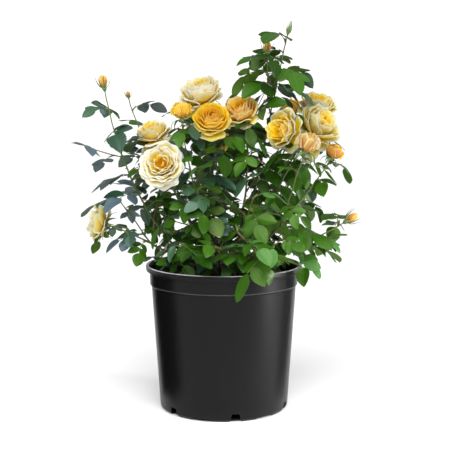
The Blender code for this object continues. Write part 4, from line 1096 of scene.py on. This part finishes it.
def grow_stem(heap, course, first, kind, sides, borne, key):
    """A stem with a slight sway, swollen where a leaf or twig leaves it."""
    draw = random.Random("stem " + key)
    count = max(6, int(course.length * (1.0 - first) / STEM_STEP))
    phase = [draw.uniform(0, math.tau) for _ in range(4)]
    points = []
    radii = []
    for t in (first + (1.0 - first) * number / count for number in range(count + 1)):
        reach = course.length * t
        inside = min(max(t, 0), 1)
        radius = course.radius(inside) * SLIMMER
        for node in borne:
            off = (t - node) * course.length / SWELL_LENGTH
            radius += course.radius(node) * SWELL * math.exp(-off ** 2)
        sway = Vector((math.sin(reach * 115 + phase[0]), math.sin(reach * 140 + phase[1]),
                       math.sin(reach * 128 + phase[2]))) * (course.radius(inside) * SWAY)
        points.append(course.point(t) + sway * math.sin(math.pi * inside) ** 0.5)
        radii.append([radius * (1 + 0.05 * math.sin(3 * math.tau * side / sides + reach * 300 + phase[3])
                                + draw.uniform(-0.03, 0.03)) for side in range(sides)])
    heap.add_limb(points, radii, sides, kind)


def grow_prickles(heap, course, first, last, to_a_metre, key):
    draw = random.Random("prickles " + key)
    for _ in range(int(course.length * to_a_metre)):
        t = draw.uniform(first, last)
        along = course.along(t)
        out = squared(heading(draw.uniform(0, 360), draw.uniform(-20, 20)), along).normalized()
        radius = course.radius(t)
        size = radius * draw.uniform(0.75, 1.35) + 0.0011
        root = course.point(t) + out * radius * 0.75
        points = [root + out * size * rise - along * size * hook
                  for rise, hook in ((0, 0), (0.45, 0.06), (0.95, 0.28), (1.25, 0.62))]
        heap.add_limb(points, [size * wide for wide in (0.42, 0.24, 0.11, 0.015)], 5, PRICKLE, along)


def grow_stalk(heap, leaf, kind):
    """A leaf's stalk with its stipules, two narrow wings at its foot, and a short stalk for each leaflet."""
    shares = [number / 8 for number in range(9)]
    radii = [0.00085 - 0.00030 * share + (0.0007 if share == 0 else 0) for share in shares]
    heap.add_limb([leaf.point(share) for share in shares], radii, 5, kind)
    for place, turning, length in leaf.leaflets.values():
        forward, up = turning.col[0], turning.col[2]
        points = [place - forward * 0.0004, place + forward * length * 0.05,
                  place + forward * length * 0.16 - up * length * 0.006]
        heap.add_limb(points, [0.00052, 0.00046, 0.00030], 4, kind)
    wing = []
    for share, wide in STIPULE_ROWS:
        forward, sideways, up = leaf.turning(share).col
        middle = leaf.point(share)
        wing.append([])
        for side in (-1, -0.35, 0.35, 1):
            point = 0.0030 if abs(side) == 1 and share > 0.2 else 0.0
            rise = 0.0004 + wide * 0.5 * abs(side)
            wing[-1].append(list(middle + sideways * (wide * side) + up * rise + forward * point))
    heap.add_sheet(np.array(wing), STIPULE_THICKNESS, STIPULE, STIPULE)


canes = Heap()
twigs = {group: Heap() for group in GROUPS}
for plot in PLAN:
    course = courses[plot.name]
    nodes = [t for host, t, leaf in grown[plot.name] if host is course]
    nodes += [t for host_plot, twig, t in fine_courses if host_plot is plot]
    if plot.host == "crown":
        grow_stem(canes, course, -0.004 / course.length, CANE, 12, nodes, plot.name)
        grow_prickles(canes, course, 0.03, 0.80, CANE_PRICKLES, plot.name)
    else:
        grow_stem(canes, course, -0.0015 / course.length, SHOOT_RIND, 10, nodes, plot.name)
        grow_prickles(canes, course, 0.03, 0.80, SHOOT_PRICKLES, plot.name)
    for host, t, leaf in grown[plot.name]:
        red = random.Random("stalk %s %f" % (plot.name, t)).random() < RED_SHARE
        grow_stalk(twigs[group_of(plot)], leaf, RED_STALK if red else GREEN_STALK)
for number, (plot, course, start) in enumerate(fine_courses):
    nodes = [t for host, t, leaf in grown[plot.name] if host is course]
    heap = twigs[group_of(plot)]
    grow_stem(heap, course, -0.001 / course.length, YOUNG, 7, nodes, "twig %d" % number)
    grow_prickles(heap, course, 0.1, 0.8, SHOOT_PRICKLES, "twig %d" % number)


def tile_place(wire):
    """Where a point lies in its own tile of the map."""
    on_map = wire.node("UVMap", {"uv_map": "OFBake"}, {}, "UV")
    wide = wire.node("VectorMath", {"operation": "SCALE"}, {0: on_map, "Scale": 4.0})
    return wire.node("VectorMath", {"operation": "FRACTION"}, {0: wide})


def rind_finish(name, stops, roughness, streak_scale, fleck):
    """Rind: a ramp of colour from the foot to the tip of a limb, with lengthwise fibres and pale flecks."""
    material, wire = start_finish(name, stops[0][1], roughness)
    spot = tile_place(wire)
    along = axis(spot, 1)
    drawn = stretch(spot, streak_scale)
    fibre = noise(drawn, 1.0, 4.0, 0.6)
    speck = noise(drawn, 3.1, 1.0)
    tone = ramp(along + (fibre - 0.5) * 0.25, *stops)
    pale = wire.node("MapRange", {}, {"Value": speck, "From Min": 0.60, "From Max": 0.72, "To Max": fleck})
    tone = lay_over(tone, (0.30, 0.24, 0.13), pale)
    bump = relief(fibre + speck * 0.4, 0.35, 0.0006)
    feed(material, Base_Color=tone, Roughness=roughness + (fibre - 0.5) * 0.2, Normal=bump)
    return material


BROWN = (0.050, 0.034, 0.018)
MOSS = (0.045, 0.054, 0.016)
GREEN = (0.052, 0.088, 0.018)
BRIGHT = (0.090, 0.160, 0.028)
RUDDY = (0.120, 0.082, 0.026)
RED = (0.170, 0.060, 0.028)
RINDS = (
    # name, colours from foot to tip, roughness, how drawn out its fibres are, strength of its flecks
    ("cane_rind", ((0.0, BROWN), (0.12, MOSS), (0.40, GREEN), (0.85, BRIGHT), (1.0, RUDDY)), 0.55,
     (60, 90, 1), 0.5),
    ("shoot_rind", ((0.0, MOSS), (0.3, GREEN), (0.8, BRIGHT), (1.0, RUDDY)), 0.5, (50, 60, 1), 0.4),
    ("young_rind", ((0.0, GREEN), (0.5, RUDDY), (1.0, RED)), 0.45, (40, 30, 1), 0.3),
    ("stalk_green", ((0.0, GREEN), (0.5, BRIGHT), (1.0, BRIGHT)), 0.45, (30, 20, 1), 0.2),
    ("stalk_red", ((0.0, RED), (0.4, RUDDY), (1.0, BRIGHT)), 0.45, (30, 20, 1), 0.2),
    ("prickle", ((0.0, RUDDY), (0.5, (0.22, 0.050, 0.034)), (1.0, (0.26, 0.09, 0.055))), 0.4,
     (12, 12, 1), 0.1),
    ("stipule", ((0.0, GREEN), (0.7, BRIGHT), (1.0, RUDDY)), 0.5, (20, 20, 1), 0.2),
)
rinds = [rind_finish(*row) for row in RINDS]
sprays = {group: ["spray_" + plot.name for plot in PLAN if group_of(plot) == group] for group in GROUPS}
canes.piece("canes", rinds, "cane_bark", ["cane_" + plot.name for plot in PLAN if plot.host == "crown"])
for group in GROUPS:
    twigs[group].piece("twigs_" + group, rinds, "cane_bark", sprays[group])


# ---- Crown
# The knob where the rose was budded on its stock: old grey-brown wood, lumpy with the collars of the canes
# and the stubs of those cut away, cracked along its grain.
KNOB_RINGS = 40
KNOB_SPOKES = 72
KNOB_LUMPS = 14
KNOB_UNDERCUT = 0.25         # rings that drop straight down as its skirt, as a share of those above

knob_draw = random.Random("crown")
lumps = [(heading(knob_draw.uniform(0, 360), knob_draw.uniform(0, 65)), knob_draw.uniform(0.10, 0.22),
          knob_draw.uniform(0.25, 0.45)) for _ in range(KNOB_LUMPS)]
corners = []
for ring in range(KNOB_RINGS + 1):
    lift = math.pi / 2 * (1 - (ring / KNOB_RINGS) * (1 + KNOB_UNDERCUT))
    above = max(lift, 0)
    for spoke in range(KNOB_SPOKES):
        turn = math.tau * spoke / KNOB_SPOKES
        way = Vector((math.cos(turn) * math.cos(above), math.sin(turn) * math.cos(above), math.sin(above)))
        swell = 1 + sum(height * math.exp(-(way - centre).length_squared / wide ** 2) * 0.55
                        for centre, height, wide in lumps)
        crack = 0.02 * math.sin(turn * 23 + 3 * math.sin(lift * 7)) + knob_draw.uniform(-0.012, 0.012)
        swell += crack * math.cos(above) - 0.08
        skirt = min(lift, 0) / (math.pi / 2 * KNOB_UNDERCUT) * (CROWN_SKIRT + 0.004)
        corners.append(Vector((way.x * CROWN_RADIUS * swell, way.y * CROWN_RADIUS * swell,
                               way.z * CROWN_HEIGHT * swell + SOIL_MOUND + CROWN_SKIRT + skirt)))
faces = []
for near in range(0, KNOB_RINGS * KNOB_SPOKES, KNOB_SPOKES):
    far = near + KNOB_SPOKES
    for spoke in range(KNOB_SPOKES):
        beside = (spoke + 1) % KNOB_SPOKES
        faces.append((near + spoke, far + spoke, far + beside, near + beside))
faces.append(tuple(KNOB_RINGS * KNOB_SPOKES + spoke for spoke in reversed(range(KNOB_SPOKES))))

knob_finish, wire = start_finish("old_wood", (0.075, 0.055, 0.038), 0.85)
place = wire.node("TexCoord", {}, {}, "Object")
grain = noise(stretch(place, (420.0, 420.0, 90.0)), 1.0, 6.0, 0.65)
patch = noise(place, 90.0, 3.0)
tone = ramp(grain * 0.65 + patch * 0.35, (0.3, (0.024, 0.016, 0.011)), (0.5, (0.080, 0.058, 0.038)),
            (0.75, (0.170, 0.140, 0.100)))
feed(knob_finish, Base_Color=tone, Normal=relief(grain, 0.7, 0.0015), Roughness=0.75 + patch * 0.2)
knob = make_piece("crown_wood", corners, faces, [knob_finish], 50)
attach(knob, "root")
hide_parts("crown")


# ---- Leaves
# Dark glossy compound leaves, five leaflets to a leaf and three on the last ones of a flowering stem, set
# one after another round the stem.  A leaflet is thin, finely toothed, folded at its midrib and arched over.
LEAFLET_ROWS = 19
LEAFLET_COLUMNS = 5
LEAFLET_FOOT = 0.06          # bare stalk before the blade starts, in leaflet lengths
LEAFLET_FORM = (0.62, 0.86)  # how bluntly a leaflet's outline opens at its foot and closes at its tip
TEETH = (1.030, 0.968)
BLADE_THICKNESS = 0.00035

rows = np.linspace(0, 1, LEAFLET_ROWS)
outline = rows ** LEAFLET_FORM[0] * (1 - rows) ** LEAFLET_FORM[1]
outline = outline / outline.max()
teeth = np.where(np.arange(LEAFLET_ROWS) % 2 == 0, *TEETH)
teeth[[0, -1]] = 1.0
teeth = teeth[:, None]
side = np.linspace(-1, 1, LEAFLET_COLUMNS)[None, :]
at_edge = np.abs(side) == 1


def grow_leaflet(length, draw):
    """One leaflet's blade as a grid of points, its foot at the origin and its tip along +X."""
    forward = (LEAFLET_FOOT + (1 - LEAFLET_FOOT) * rows)[:, None]
    wide = LEAF_WIDTH * draw.uniform(0.86, 1.12) * np.maximum(outline, 0.02)[:, None]
    reach = wide * side * np.where(at_edge, teeth, 1.0)
    x = forward + np.where(at_edge, 0.012 * (teeth > 1), 0.0) - 0.03 * side ** 2 * (1 - forward)
    fold, curl = draw.uniform(0.12, 0.60), draw.uniform(0.10, 0.36)
    wave, phase = draw.uniform(0.004, 0.020), draw.uniform(0, math.tau)
    sag = LEAF_SAG * draw.uniform(0.6, 1.5)
    z = wide * (fold * np.abs(side) - curl * side ** 2) - sag * forward ** 2
    z = z + wave * np.sin(forward * 9 + phase + side * 1.4) * side ** 2
    twist = draw.uniform(-0.5, 0.5) * forward
    bent = draw.uniform(-0.05, 0.05) * forward ** 2
    y = reach * np.cos(twist) - z * np.sin(twist) + bent
    z = reach * np.sin(twist) + z * np.cos(twist)
    return np.stack((np.broadcast_to(x, y.shape), y, z), 2) * length


def put(points, place, turning):
    """Points of a shell's own space set in the plant at place."""
    return points @ np.array(turning).T + np.array(place)


# Greens dealt out by shoot: blue-green on the left, where the blue cast is a painted sky reflection, a
# lighter, yellower green on the right, and the rest between.
TINTS = (
    # name, upper side, under side
    # The blue cast of these first three tints is a painted sky reflection on the leaves.
    ("blue_dark", (0.016, 0.056, 0.026), (0.070, 0.125, 0.080)),
    ("blue_pale", (0.036, 0.096, 0.042), (0.105, 0.170, 0.110)),
    ("steel", (0.075, 0.120, 0.150), (0.130, 0.175, 0.180)),
    ("deep", (0.010, 0.047, 0.0010), (0.050, 0.112, 0.014)),
    ("mid", (0.022, 0.086, 0.0020), (0.068, 0.150, 0.020)),
    ("fresh", (0.037, 0.120, 0.008), (0.092, 0.195, 0.028)),
    ("bright", (0.062, 0.180, 0.040), (0.135, 0.245, 0.070)),
    ("young", (0.062, 0.118, 0.020), (0.120, 0.125, 0.040)),
)
SHARES = (
    # shoots, and how often their leaves take each tint
    (("far_left", "left_bud", "left_low_leafy", "mid_left"), (5, 3, 5, 2, 1, 0.5, 0, 0.1)),
    (("left_low", "left_front", "left_back", "rim_left", "front_left"), (5, 5, 1.0, 4, 3, 1, 0, 0.1)),
    (("right_upper", "right_back", "right_inner", "right_face", "right_outer", "right_half", "right_low",
      "right_sprawl", "front_centre", "front_right"), (0.2, 0.2, 0, 3, 5, 7, 3, 0.2)),
    (("tall", "tall_side"), (0.4, 0.3, 0, 6, 7, 3, 0.5, 0.1)),
)
OTHER_SHARES = (1.5, 1.2, 0.2, 7, 5, 3, 1, 0.1)

# How large a shoot's leaves have grown, and single leaves that stayed small, by their place along the shoot.
VIGOUR = {
    "far_left": 1.16, "left_bud": 1.12, "tall": 1.12, "tall_side": 1.10, "left_low": 0.86,
    "left_low_leafy": 0.90, "right_outer": 0.94, "right_sprawl": 0.94, "right_low": 0.94, "right_half": 0.94,
}
SMALLER = {("left_low", 0.57): 0.75, ("tall", 0.70): 0.58}

leaves = {group: Heap() for group in GROUPS}
for plot in PLAN:
    draw = random.Random("greens " + plot.name)
    shares = next((shares for names, shares in SHARES if plot.name in names), OTHER_SHARES)
    for host, t, leaf in grown[plot.name]:
        tint = draw.choices(range(len(TINTS)), shares)[0]
        for place, turning, length in leaf.leaflets.values():
            kind = tint if draw.random() < 0.8 else draw.choices(range(len(TINTS)), shares)[0]
            length *= VIGOUR.get(plot.name, 1.0) * SMALLER.get((plot.name, round(t, 2)), 1.0)
            points = put(grow_leaflet(length, draw), place, turning)
            leaves[group_of(plot)].add_sheet(points, BLADE_THICKNESS, 2 * kind, 2 * kind + 1)

VEIN_LIFT = (0.030, 0.042, 0.008)
GLOSS = (0.42, (0.80, 1.0, 0.50, 1.0))
BLUE_GLOSS = (0.70, (0.80, 0.97, 1.0, 1.0))
UNDER_GLOSS = 0.15


def leaf_finish(name, colour, roughness, gloss, sheen, swell, vein_tone):
    """A blade: its green, a pale midrib, side veins that run out to the teeth, and the swell between them."""
    material, wire = start_finish(name, colour, roughness, Specular_IOR_Level=gloss, Specular_Tint=sheen)
    spot = tile_place(wire)
    across, along = axis(spot, 0), axis(spot, 1)
    out = abs((across - 0.5) * (1 / TILE_HALF))
    gap = abs(wire.maths("FRACT", (along - out * 0.16) * 9.0) - 0.5)
    vein = soft_step(gap, 0.10, 0.02, 0.0, 0.7)
    rib = soft_step(out, 0.075, 0.015)
    lines = wire.maths("MAXIMUM", vein * (1.0 - out * 0.6), rib)
    cells = noise(spot, 60.0, 3.0)
    cloud = noise(spot, 6.0)
    dark = (*[value * 0.72 for value in colour], 1.0)
    light = [min(1.0, value * 1.28) for value in colour]
    tone = lay_over(dark, light, cloud * 0.7 + cells * 0.5 - 0.1)
    tone = lay_over(tone, [value * 1.6 + pale for value, pale in zip(colour, VEIN_LIFT)], lines * vein_tone)
    puff = gap * (1.0 - rib)
    bump = relief(cells * 0.30 - puff * swell, 0.5, 0.0006)
    feed(material, Base_Color=tone, Roughness=roughness + (cells - 0.5) * 0.15 + lines * 0.08, Normal=bump)
    return material


blades = []
for name, upper, under in TINTS:
    # The tints with a painted sky reflection also take a bluish specular tint.
    gloss, sheen = BLUE_GLOSS if name in ("blue_dark", "blue_pale", "steel") else GLOSS
    blades.append(leaf_finish("leaf_" + name, upper, 0.38, gloss, sheen, 0.60, 0.30))
    blades.append(leaf_finish("leaf_under_" + name, under, 0.65, UNDER_GLOSS, sheen, -0.5, 0.45))
for group in GROUPS:
    leaves[group].piece("leaves_" + group, blades, "leaf", sprays[group])


# ---- Blossom
# Old-fashioned full roses, each a cup of some forty thin petals on a green hip, gold at the heart and paler
# outward, with ruffled edges that roll back as the flower ages.  Half-open ones and buds sit in green sepals.
PETAL_THICKNESS = 0.00035
SEPAL_THICKNESS = 0.0005
SEPAL_COUNT = 5
SEPAL_ROWS = 9
STAMEN_COUNT = 16
STAMEN = ((0, 0.0002), (0.16, 0.00018), (0.26, 0.00018), (0.28, 0.0006), (0.31, 0.0006), (0.33, 0.0001))
DROPPING = 1.25              # how open a petal is that hangs from the flower, where the outermost one is at 1
PETAL_TINTS = (
    # name, foot, middle, edge and rim of a petal
    ("ivory", (0.86, 0.44, 0.003), (0.88, 0.61, 0.04), (0.90, 0.79, 0.42), (0.91, 0.88, 0.72)),
    ("cream", (0.86, 0.40, 0.002), (0.88, 0.55, 0.02), (0.90, 0.71, 0.19), (0.91, 0.82, 0.47)),
    ("lemon", (0.86, 0.35, 0.002), (0.88, 0.49, 0.006), (0.90, 0.61, 0.045), (0.92, 0.73, 0.20)),
    ("gold", (0.84, 0.27, 0.002), (0.90, 0.40, 0.002), (0.92, 0.50, 0.004), (0.93, 0.61, 0.035)),
    ("peach", (0.84, 0.25, 0.002), (0.90, 0.39, 0.004), (0.92, 0.53, 0.05), (0.93, 0.70, 0.27)),
    ("orange", (0.82, 0.18, 0.002), (0.88, 0.26, 0.002), (0.90, 0.35, 0.004), (0.92, 0.46, 0.018)),
    # The last three are darker copies of cream, peach and orange: painted shade for blooms that stand in
    # shade.
    ("straw", (0.58, 0.31, 0.002), (0.62, 0.40, 0.006), (0.63, 0.52, 0.13), (0.64, 0.61, 0.43)),
    ("apricot", (0.56, 0.15, 0.002), (0.60, 0.23, 0.005), (0.63, 0.34, 0.035), (0.66, 0.50, 0.26)),
    ("amber", (0.56, 0.11, 0.002), (0.60, 0.18, 0.002), (0.63, 0.25, 0.003), (0.65, 0.34, 0.012)),
)
IVORY, CREAM, LEMON, GOLD, PEACH, ORANGE, SHADED_CREAM, SHADED_PEACH, SHADED_ORANGE = range(9)
SEPAL_KIND, HIP_KIND, STAMEN_KIND = range(18, 21)

# Each flower's tints from its heart to its outermost petals.  The shaded tints paint shade onto blooms that
# stand in it.
BLOOM_TINTS = {
    "middle_back": (LEMON, CREAM, IVORY, IVORY, IVORY), "middle": (ORANGE, ORANGE, GOLD, GOLD, GOLD, LEMON),
    "mid_right": (ORANGE, GOLD, PEACH, PEACH, PEACH, CREAM), "mid_left": (ORANGE, ORANGE, GOLD, GOLD, GOLD),
    "left_back": (GOLD, LEMON, CREAM, CREAM, IVORY), "left_low": (GOLD, LEMON, SHADED_CREAM, SHADED_CREAM, SHADED_CREAM),
    "left_front": (GOLD, CREAM, IVORY, IVORY, IVORY, IVORY, IVORY), "far_left": (ORANGE,),
    "right_back": (GOLD, LEMON, SHADED_CREAM, SHADED_CREAM, SHADED_CREAM), "right_face": (GOLD, GOLD, LEMON, SHADED_CREAM, SHADED_CREAM),
    "right_inner": (ORANGE, ORANGE, ORANGE, GOLD, GOLD),
    "right_upper": (GOLD, LEMON, SHADED_CREAM, SHADED_CREAM, SHADED_CREAM, SHADED_CREAM),
    "right_half": (SHADED_ORANGE, SHADED_ORANGE, SHADED_PEACH, SHADED_PEACH, SHADED_PEACH), "tall": (GOLD,), "left_bud": (SHADED_PEACH,),
    "right_outer": (ORANGE, SHADED_ORANGE, SHADED_ORANGE, SHADED_ORANGE, SHADED_ORANGE), "tall_side": (ORANGE,),
    "right_low": (ORANGE, ORANGE, SHADED_ORANGE, ORANGE, ORANGE), "back_left": (GOLD, LEMON, CREAM, IVORY, IVORY),
    "back_centre": (GOLD, LEMON, LEMON, CREAM, CREAM), "back_right": (GOLD, GOLD, LEMON, LEMON, CREAM),
}

# How ragged the older blooms have grown, where a fresh one is 1.
LOOSE = {"left_low": 1.8, "right_face": 1.8, "right_upper": 1.4, "right_back": 1.3, "left_front": 1.6,
         "left_back": 1.3}
# How far the petals of a flower have spread out flat: below 1 they lie flatter, and above 1 they stay cupped.
SPREAD = {"left_front": 0.62, "left_low": 0.85, "right_face": 0.75, "right_back": 0.80, "left_back": 0.85}

# Petals of the oldest blooms that are about to drop, each the turn round the flower at which it hangs.
HANGING = {"right_upper": (-55,), "right_face": (160,), "middle_back": (-110,), "left_back": (-60, -120)}

# Blooms with fewer petals than the form's own number.
SPARE = {"right_face": 24, "right_back": 26, "right_upper": 32, "left_low": 28, "left_back": 28,
         "middle_back": 34, "left_front": 38, "mid_right": 36}

Form = namedtuple("Form", "petals keys width edge wave ruffle sepal sepal_width hip")
FORMS = {
    # keys: how open, then four (radius, height) points that a petal's middle line follows, in flower radii
    "bloom": Form(46, (
        (0.00, ((0.03, 0.02), (0.14, 0.20), (0.20, 0.60), (0.06, 0.80))),
        (0.25, ((0.04, 0.00), (0.30, 0.08), (0.42, 0.55), (0.32, 0.94))),
        (0.50, ((0.05, -0.02), (0.50, 0.00), (0.66, 0.50), (0.60, 0.96))),
        (0.75, ((0.05, -0.04), (0.64, -0.06), (0.86, 0.45), (0.88, 0.78))),
        (0.90, ((0.06, -0.06), (0.64, -0.16), (0.92, 0.20), (0.96, 0.40))),
        (1.00, ((0.06, -0.08), (0.58, -0.22), (0.90, -0.14), (0.96, -0.16))),
        (1.25, ((0.06, -0.08), (0.60, -0.22), (0.98, -0.60), (0.80, -1.15)))),
        (0.40, 0.82), 0.055, 0.032, 0.020,
        ((0.10, -0.12), (0.42, -0.10), (0.70, -0.36), (0.72, -0.62)), 0.085,
        ((-0.30, 0.035), (-0.22, 0.11), (-0.12, 0.135), (-0.03, 0.10), (0.04, 0.07))),
    "half": Form(20, (
        (0.00, ((0.05, 0.00), (0.30, 0.30), (0.36, 1.10), (0.06, 1.60))),
        (0.50, ((0.08, -0.10), (0.80, 0.00), (0.88, 0.95), (0.42, 1.72))),
        (1.00, ((0.10, -0.18), (1.02, -0.20), (1.12, 0.70), (0.84, 1.36)))),
        (0.55, 1.05), 0.14, 0.04, 0.03,
        ((0.26, -0.30), (0.95, -0.25), (1.35, -0.75), (1.15, -1.45)), 0.17,
        ((-0.75, 0.08), (-0.52, 0.26), (-0.30, 0.30), (-0.12, 0.26), (0.05, 0.20))),
    "bud": Form(9, (
        (0.00, ((0.10, 0.00), (0.55, 0.40), (0.55, 1.50), (0.02, 2.30))),
        (1.00, ((0.15, -0.15), (1.00, 0.10), (1.02, 1.30), (0.42, 2.15)))),
        (0.75, 1.05), 0.05, 0.0, 0.02,
        ((0.45, -0.35), (1.25, -0.05), (1.45, 0.90), (1.65, 2.20)), 0.19,
        ((-1.15, 0.14), (-0.80, 0.42), (-0.45, 0.52), (-0.15, 0.48), (0.10, 0.36))),
    "tight": Form(5, (
        (0.00, ((0.10, 0.00), (0.60, 0.40), (0.55, 1.30), (0.02, 2.00))),
        (1.00, ((0.15, -0.10), (0.85, 0.20), (0.80, 1.20), (0.05, 2.05)))),
        (0.80, 0.95), 0.0, 0.0, 0.0,
        ((0.42, -0.30), (1.12, 0.10), (0.92, 1.50), (0.30, 3.40)), 0.50,
        ((-1.10, 0.20), (-0.75, 0.50), (-0.40, 0.58), (-0.10, 0.52), (0.10, 0.40))),
}


def curve(points, share):
    """Points of the smooth curve with four guiding points, each guide a pair."""
    share = share[..., None]
    first, second, third, last = (np.array(point) for point in points)
    return (first * (1 - share) ** 3 + second * 3 * share * (1 - share) ** 2
            + third * 3 * share ** 2 * (1 - share) + last * share ** 3)


def blend_keys(keys, openness):
    for (low, first), (high, second) in zip(keys, keys[1:]):
        if openness <= high:
            share = (openness - low) / (high - low)
            return np.array(first) * (1 - share) + np.array(second) * share
    return np.array(keys[-1][1])


def petal(form, openness, turn, draw, loose, spread):
    """A petal as a grid of points round a flower's axis, which is +X, in flower radii."""
    rows, columns = (11, 15) if openness > 0.5 else (8, 9)
    across = np.linspace(-1, 1, columns)[None, :]
    up = np.linspace(0, 1, rows)[:, None] ** 0.85
    phase = [draw.uniform(0, math.tau) for _ in range(3)]

    # The top edge is rounded, ruffled and slightly notched in its middle.
    top = 0.52 + 0.48 * np.sqrt(1 - np.abs(across) ** 3)
    top = top + form.ruffle * (np.sin(across * 5.5 + phase[0]) + 0.35 * np.sin(across * 11 + phase[1])) * top
    top = top - draw.uniform(0.0, 0.08) * np.exp(-(across / 0.16) ** 2)
    reach = up * top

    guide = blend_keys(form.keys, openness) * draw.uniform(0.93, 1.05)
    guide[:, 1] *= 1 - 0.7 * max(0, 1 - spread)
    guide[2:, 0] += draw.uniform(-0.06, 0.05) * loose
    guide[3, 1] += draw.uniform(-0.08, 0.04) * loose
    path = curve(guide, reach)
    radius, height = path[..., 0], path[..., 1]
    wide = form.width[0] + (form.width[1] - form.width[0]) * openness
    wide = wide * draw.uniform(0.90, 1.12) * (0.20 + 0.80 * np.sin(np.minimum(1, reach / 0.62) * math.pi / 2))
    angle = across * wide / (np.maximum(radius, 0) + 0.16) + math.radians(turn)
    angle = angle + draw.uniform(-0.25, 0.25) * reach

    # Its sides and its lip roll back, and a ragged one waves.
    back = draw.uniform(0.3, 1.0) * form.edge * (0.3 + openness)
    lip = np.maximum(0, up - 0.70) / 0.30
    radius = radius + back * (np.abs(across) ** 3 * reach + 1.8 * lip ** 2)
    height = height - back * 1.3 * lip ** 3
    radius = radius + form.wave * loose * np.sin(across * 6.5 + phase[1]) * reach ** 3
    height = height + form.wave * loose * np.cos(across * 5.0 + phase[2]) * reach ** 3
    return np.stack((height, radius * np.cos(angle), radius * np.sin(angle)), 2)


def sepal(form, turn, draw):
    """A sepal: a narrow green blade drawn out to a thin tip."""
    up = np.linspace(0, 1, SEPAL_ROWS)
    path = curve(np.array(form.sepal) * draw.uniform(0.88, 1.10), up)
    wide = form.sepal_width * (1.0 - up ** 1.3) * (0.75 + 0.6 * np.sin(up * math.pi))
    wide = wide + form.sepal_width * 0.06
    across = np.linspace(-1, 1, 4)[None, :]
    lean = draw.uniform(-0.3, 0.3) * up[:, None]
    radius = path[:, 0][:, None] - 0.25 * wide[:, None] * across ** 2
    sideways = across * wide[:, None] + lean
    angle = math.radians(turn)
    return np.stack((np.broadcast_to(path[:, 1][:, None], radius.shape),
                     radius * math.cos(angle) - sideways * math.sin(angle),
                     radius * math.sin(angle) + sideways * math.cos(angle)), 2)


blossom = {group: Heap() for group in GROUPS}
for plot in PLAN:
    if plot.end == "leaf":
        continue
    form = FORMS[plot.end]
    heap = blossom[group_of(plot)]
    course = courses[plot.name]
    turning = basis(course.arrive, FLOWER_UP)
    draw = random.Random("blossom " + plot.name)
    tints = BLOOM_TINTS[plot.name]
    hanging = HANGING.get(plot.name, ())
    count = SPARE.get(plot.name, form.petals)
    spread = SPREAD.get(plot.name, 1.0)
    for number in range(count + len(hanging)):
        openness = min(1.0, number / (count - 1)) ** spread
        turn = number * GOLDEN_TURN + draw.uniform(-18, 18)
        if number >= count:
            openness, turn = DROPPING, hanging[number - count]
        points = petal(form, openness, turn, draw, LOOSE.get(plot.name, 1.0), spread) * plot.size
        ring = int(openness * len(tints) * 0.999 + draw.uniform(-0.35, 0.35))
        tint = tints[max(0, min(len(tints) - 1, ring))]
        heap.add_sheet(put(points, course.end, turning), PETAL_THICKNESS, 2 * tint, 2 * tint + 1)
    for number in range(SEPAL_COUNT):
        points = sepal(form, number * 360 / SEPAL_COUNT + draw.uniform(-10, 10), draw) * plot.size
        heap.add_sheet(put(points, course.end, turning), SEPAL_THICKNESS, SEPAL_KIND, SEPAL_KIND)
    points = [course.end + turning.col[0] * (place * plot.size) for place, wide in form.hip]
    heap.add_limb(points, [wide * plot.size for place, wide in form.hip], 12, HIP_KIND)
    for number in range(STAMEN_COUNT if plot.end == "bloom" else 0):
        lean = heading(number * 47, 60)
        root = turning @ Vector((0.10, lean.x * 0.05, lean.y * 0.05)) * plot.size + course.end
        way = turning @ Vector((lean.z, lean.x, lean.y)) * plot.size
        points = [root + way * share for share, radius in STAMEN]
        heap.add_limb(points, [radius for share, radius in STAMEN], 5, STAMEN_KIND)

PETAL_GLOW = {"Specular_IOR_Level": 0.14, "Subsurface_Weight": 0.60, "Subsurface_Scale": 0.004,
              "Subsurface_Radius": (1.0, 0.88, 0.60)}


def petal_finish(name, foot, middle, edge, rim, fade):
    """A petal: deep at its foot, pale along its rim, finely lined lengthwise, with a soft velvety surface."""
    material, wire = start_finish(name, middle, 0.55, **PETAL_GLOW)
    spot = tile_place(wire)
    across, along = axis(spot, 0), axis(spot, 1)
    out = abs((across - 0.5) * (1 / TILE_HALF))
    lines = noise(stretch(spot, (55.0, 2.2, 1.0)), 1.0, 3.0)
    cloud = noise(spot, 5.0)
    place = along + out * out * out * 0.20 + (cloud - 0.5) * 0.24 + (lines - 0.5) * 0.10
    middle, edge, rim = ([value + (1 - value) * fade for value in colour] for colour in (middle, edge, rim))
    tone = ramp(place, (0.0, foot), (0.50, middle), (0.80, edge), (0.97, rim))
    bump = relief(lines + cloud * 0.6, 0.16, 0.0005)
    feed(material, Base_Color=tone, Roughness=0.50 + cloud * 0.18, Normal=bump)
    return material


petals = []
for name, *colours in PETAL_TINTS:
    petals.append(petal_finish("petal_" + name, *colours, 0.0))
    petals.append(petal_finish("petal_back_" + name, *colours, 0.06))
for name, foot, middle, tip, roughness, fibres, fleck in (
        ("sepal", (0.10, 0.19, 0.05), (0.12, 0.20, 0.06), (0.16, 0.13, 0.06), 0.6, (20, 14, 1), 0.2),
        ("hip", (0.09, 0.16, 0.04), (0.13, 0.23, 0.06), (0.14, 0.20, 0.06), 0.45, (20, 8, 1), 0.1),
        ("stamen", (0.75, 0.45, 0.05), (0.70, 0.40, 0.05), (0.35, 0.14, 0.03), 0.6, (8, 8, 1), 0.1)):
    petals.append(rind_finish(name, ((0.0, foot), (0.6, middle), (1.0, tip)), roughness, fibres, fleck))
for group in GROUPS:
    blossom[group].piece("blossom_" + group, petals, "blossom", sprays[group])
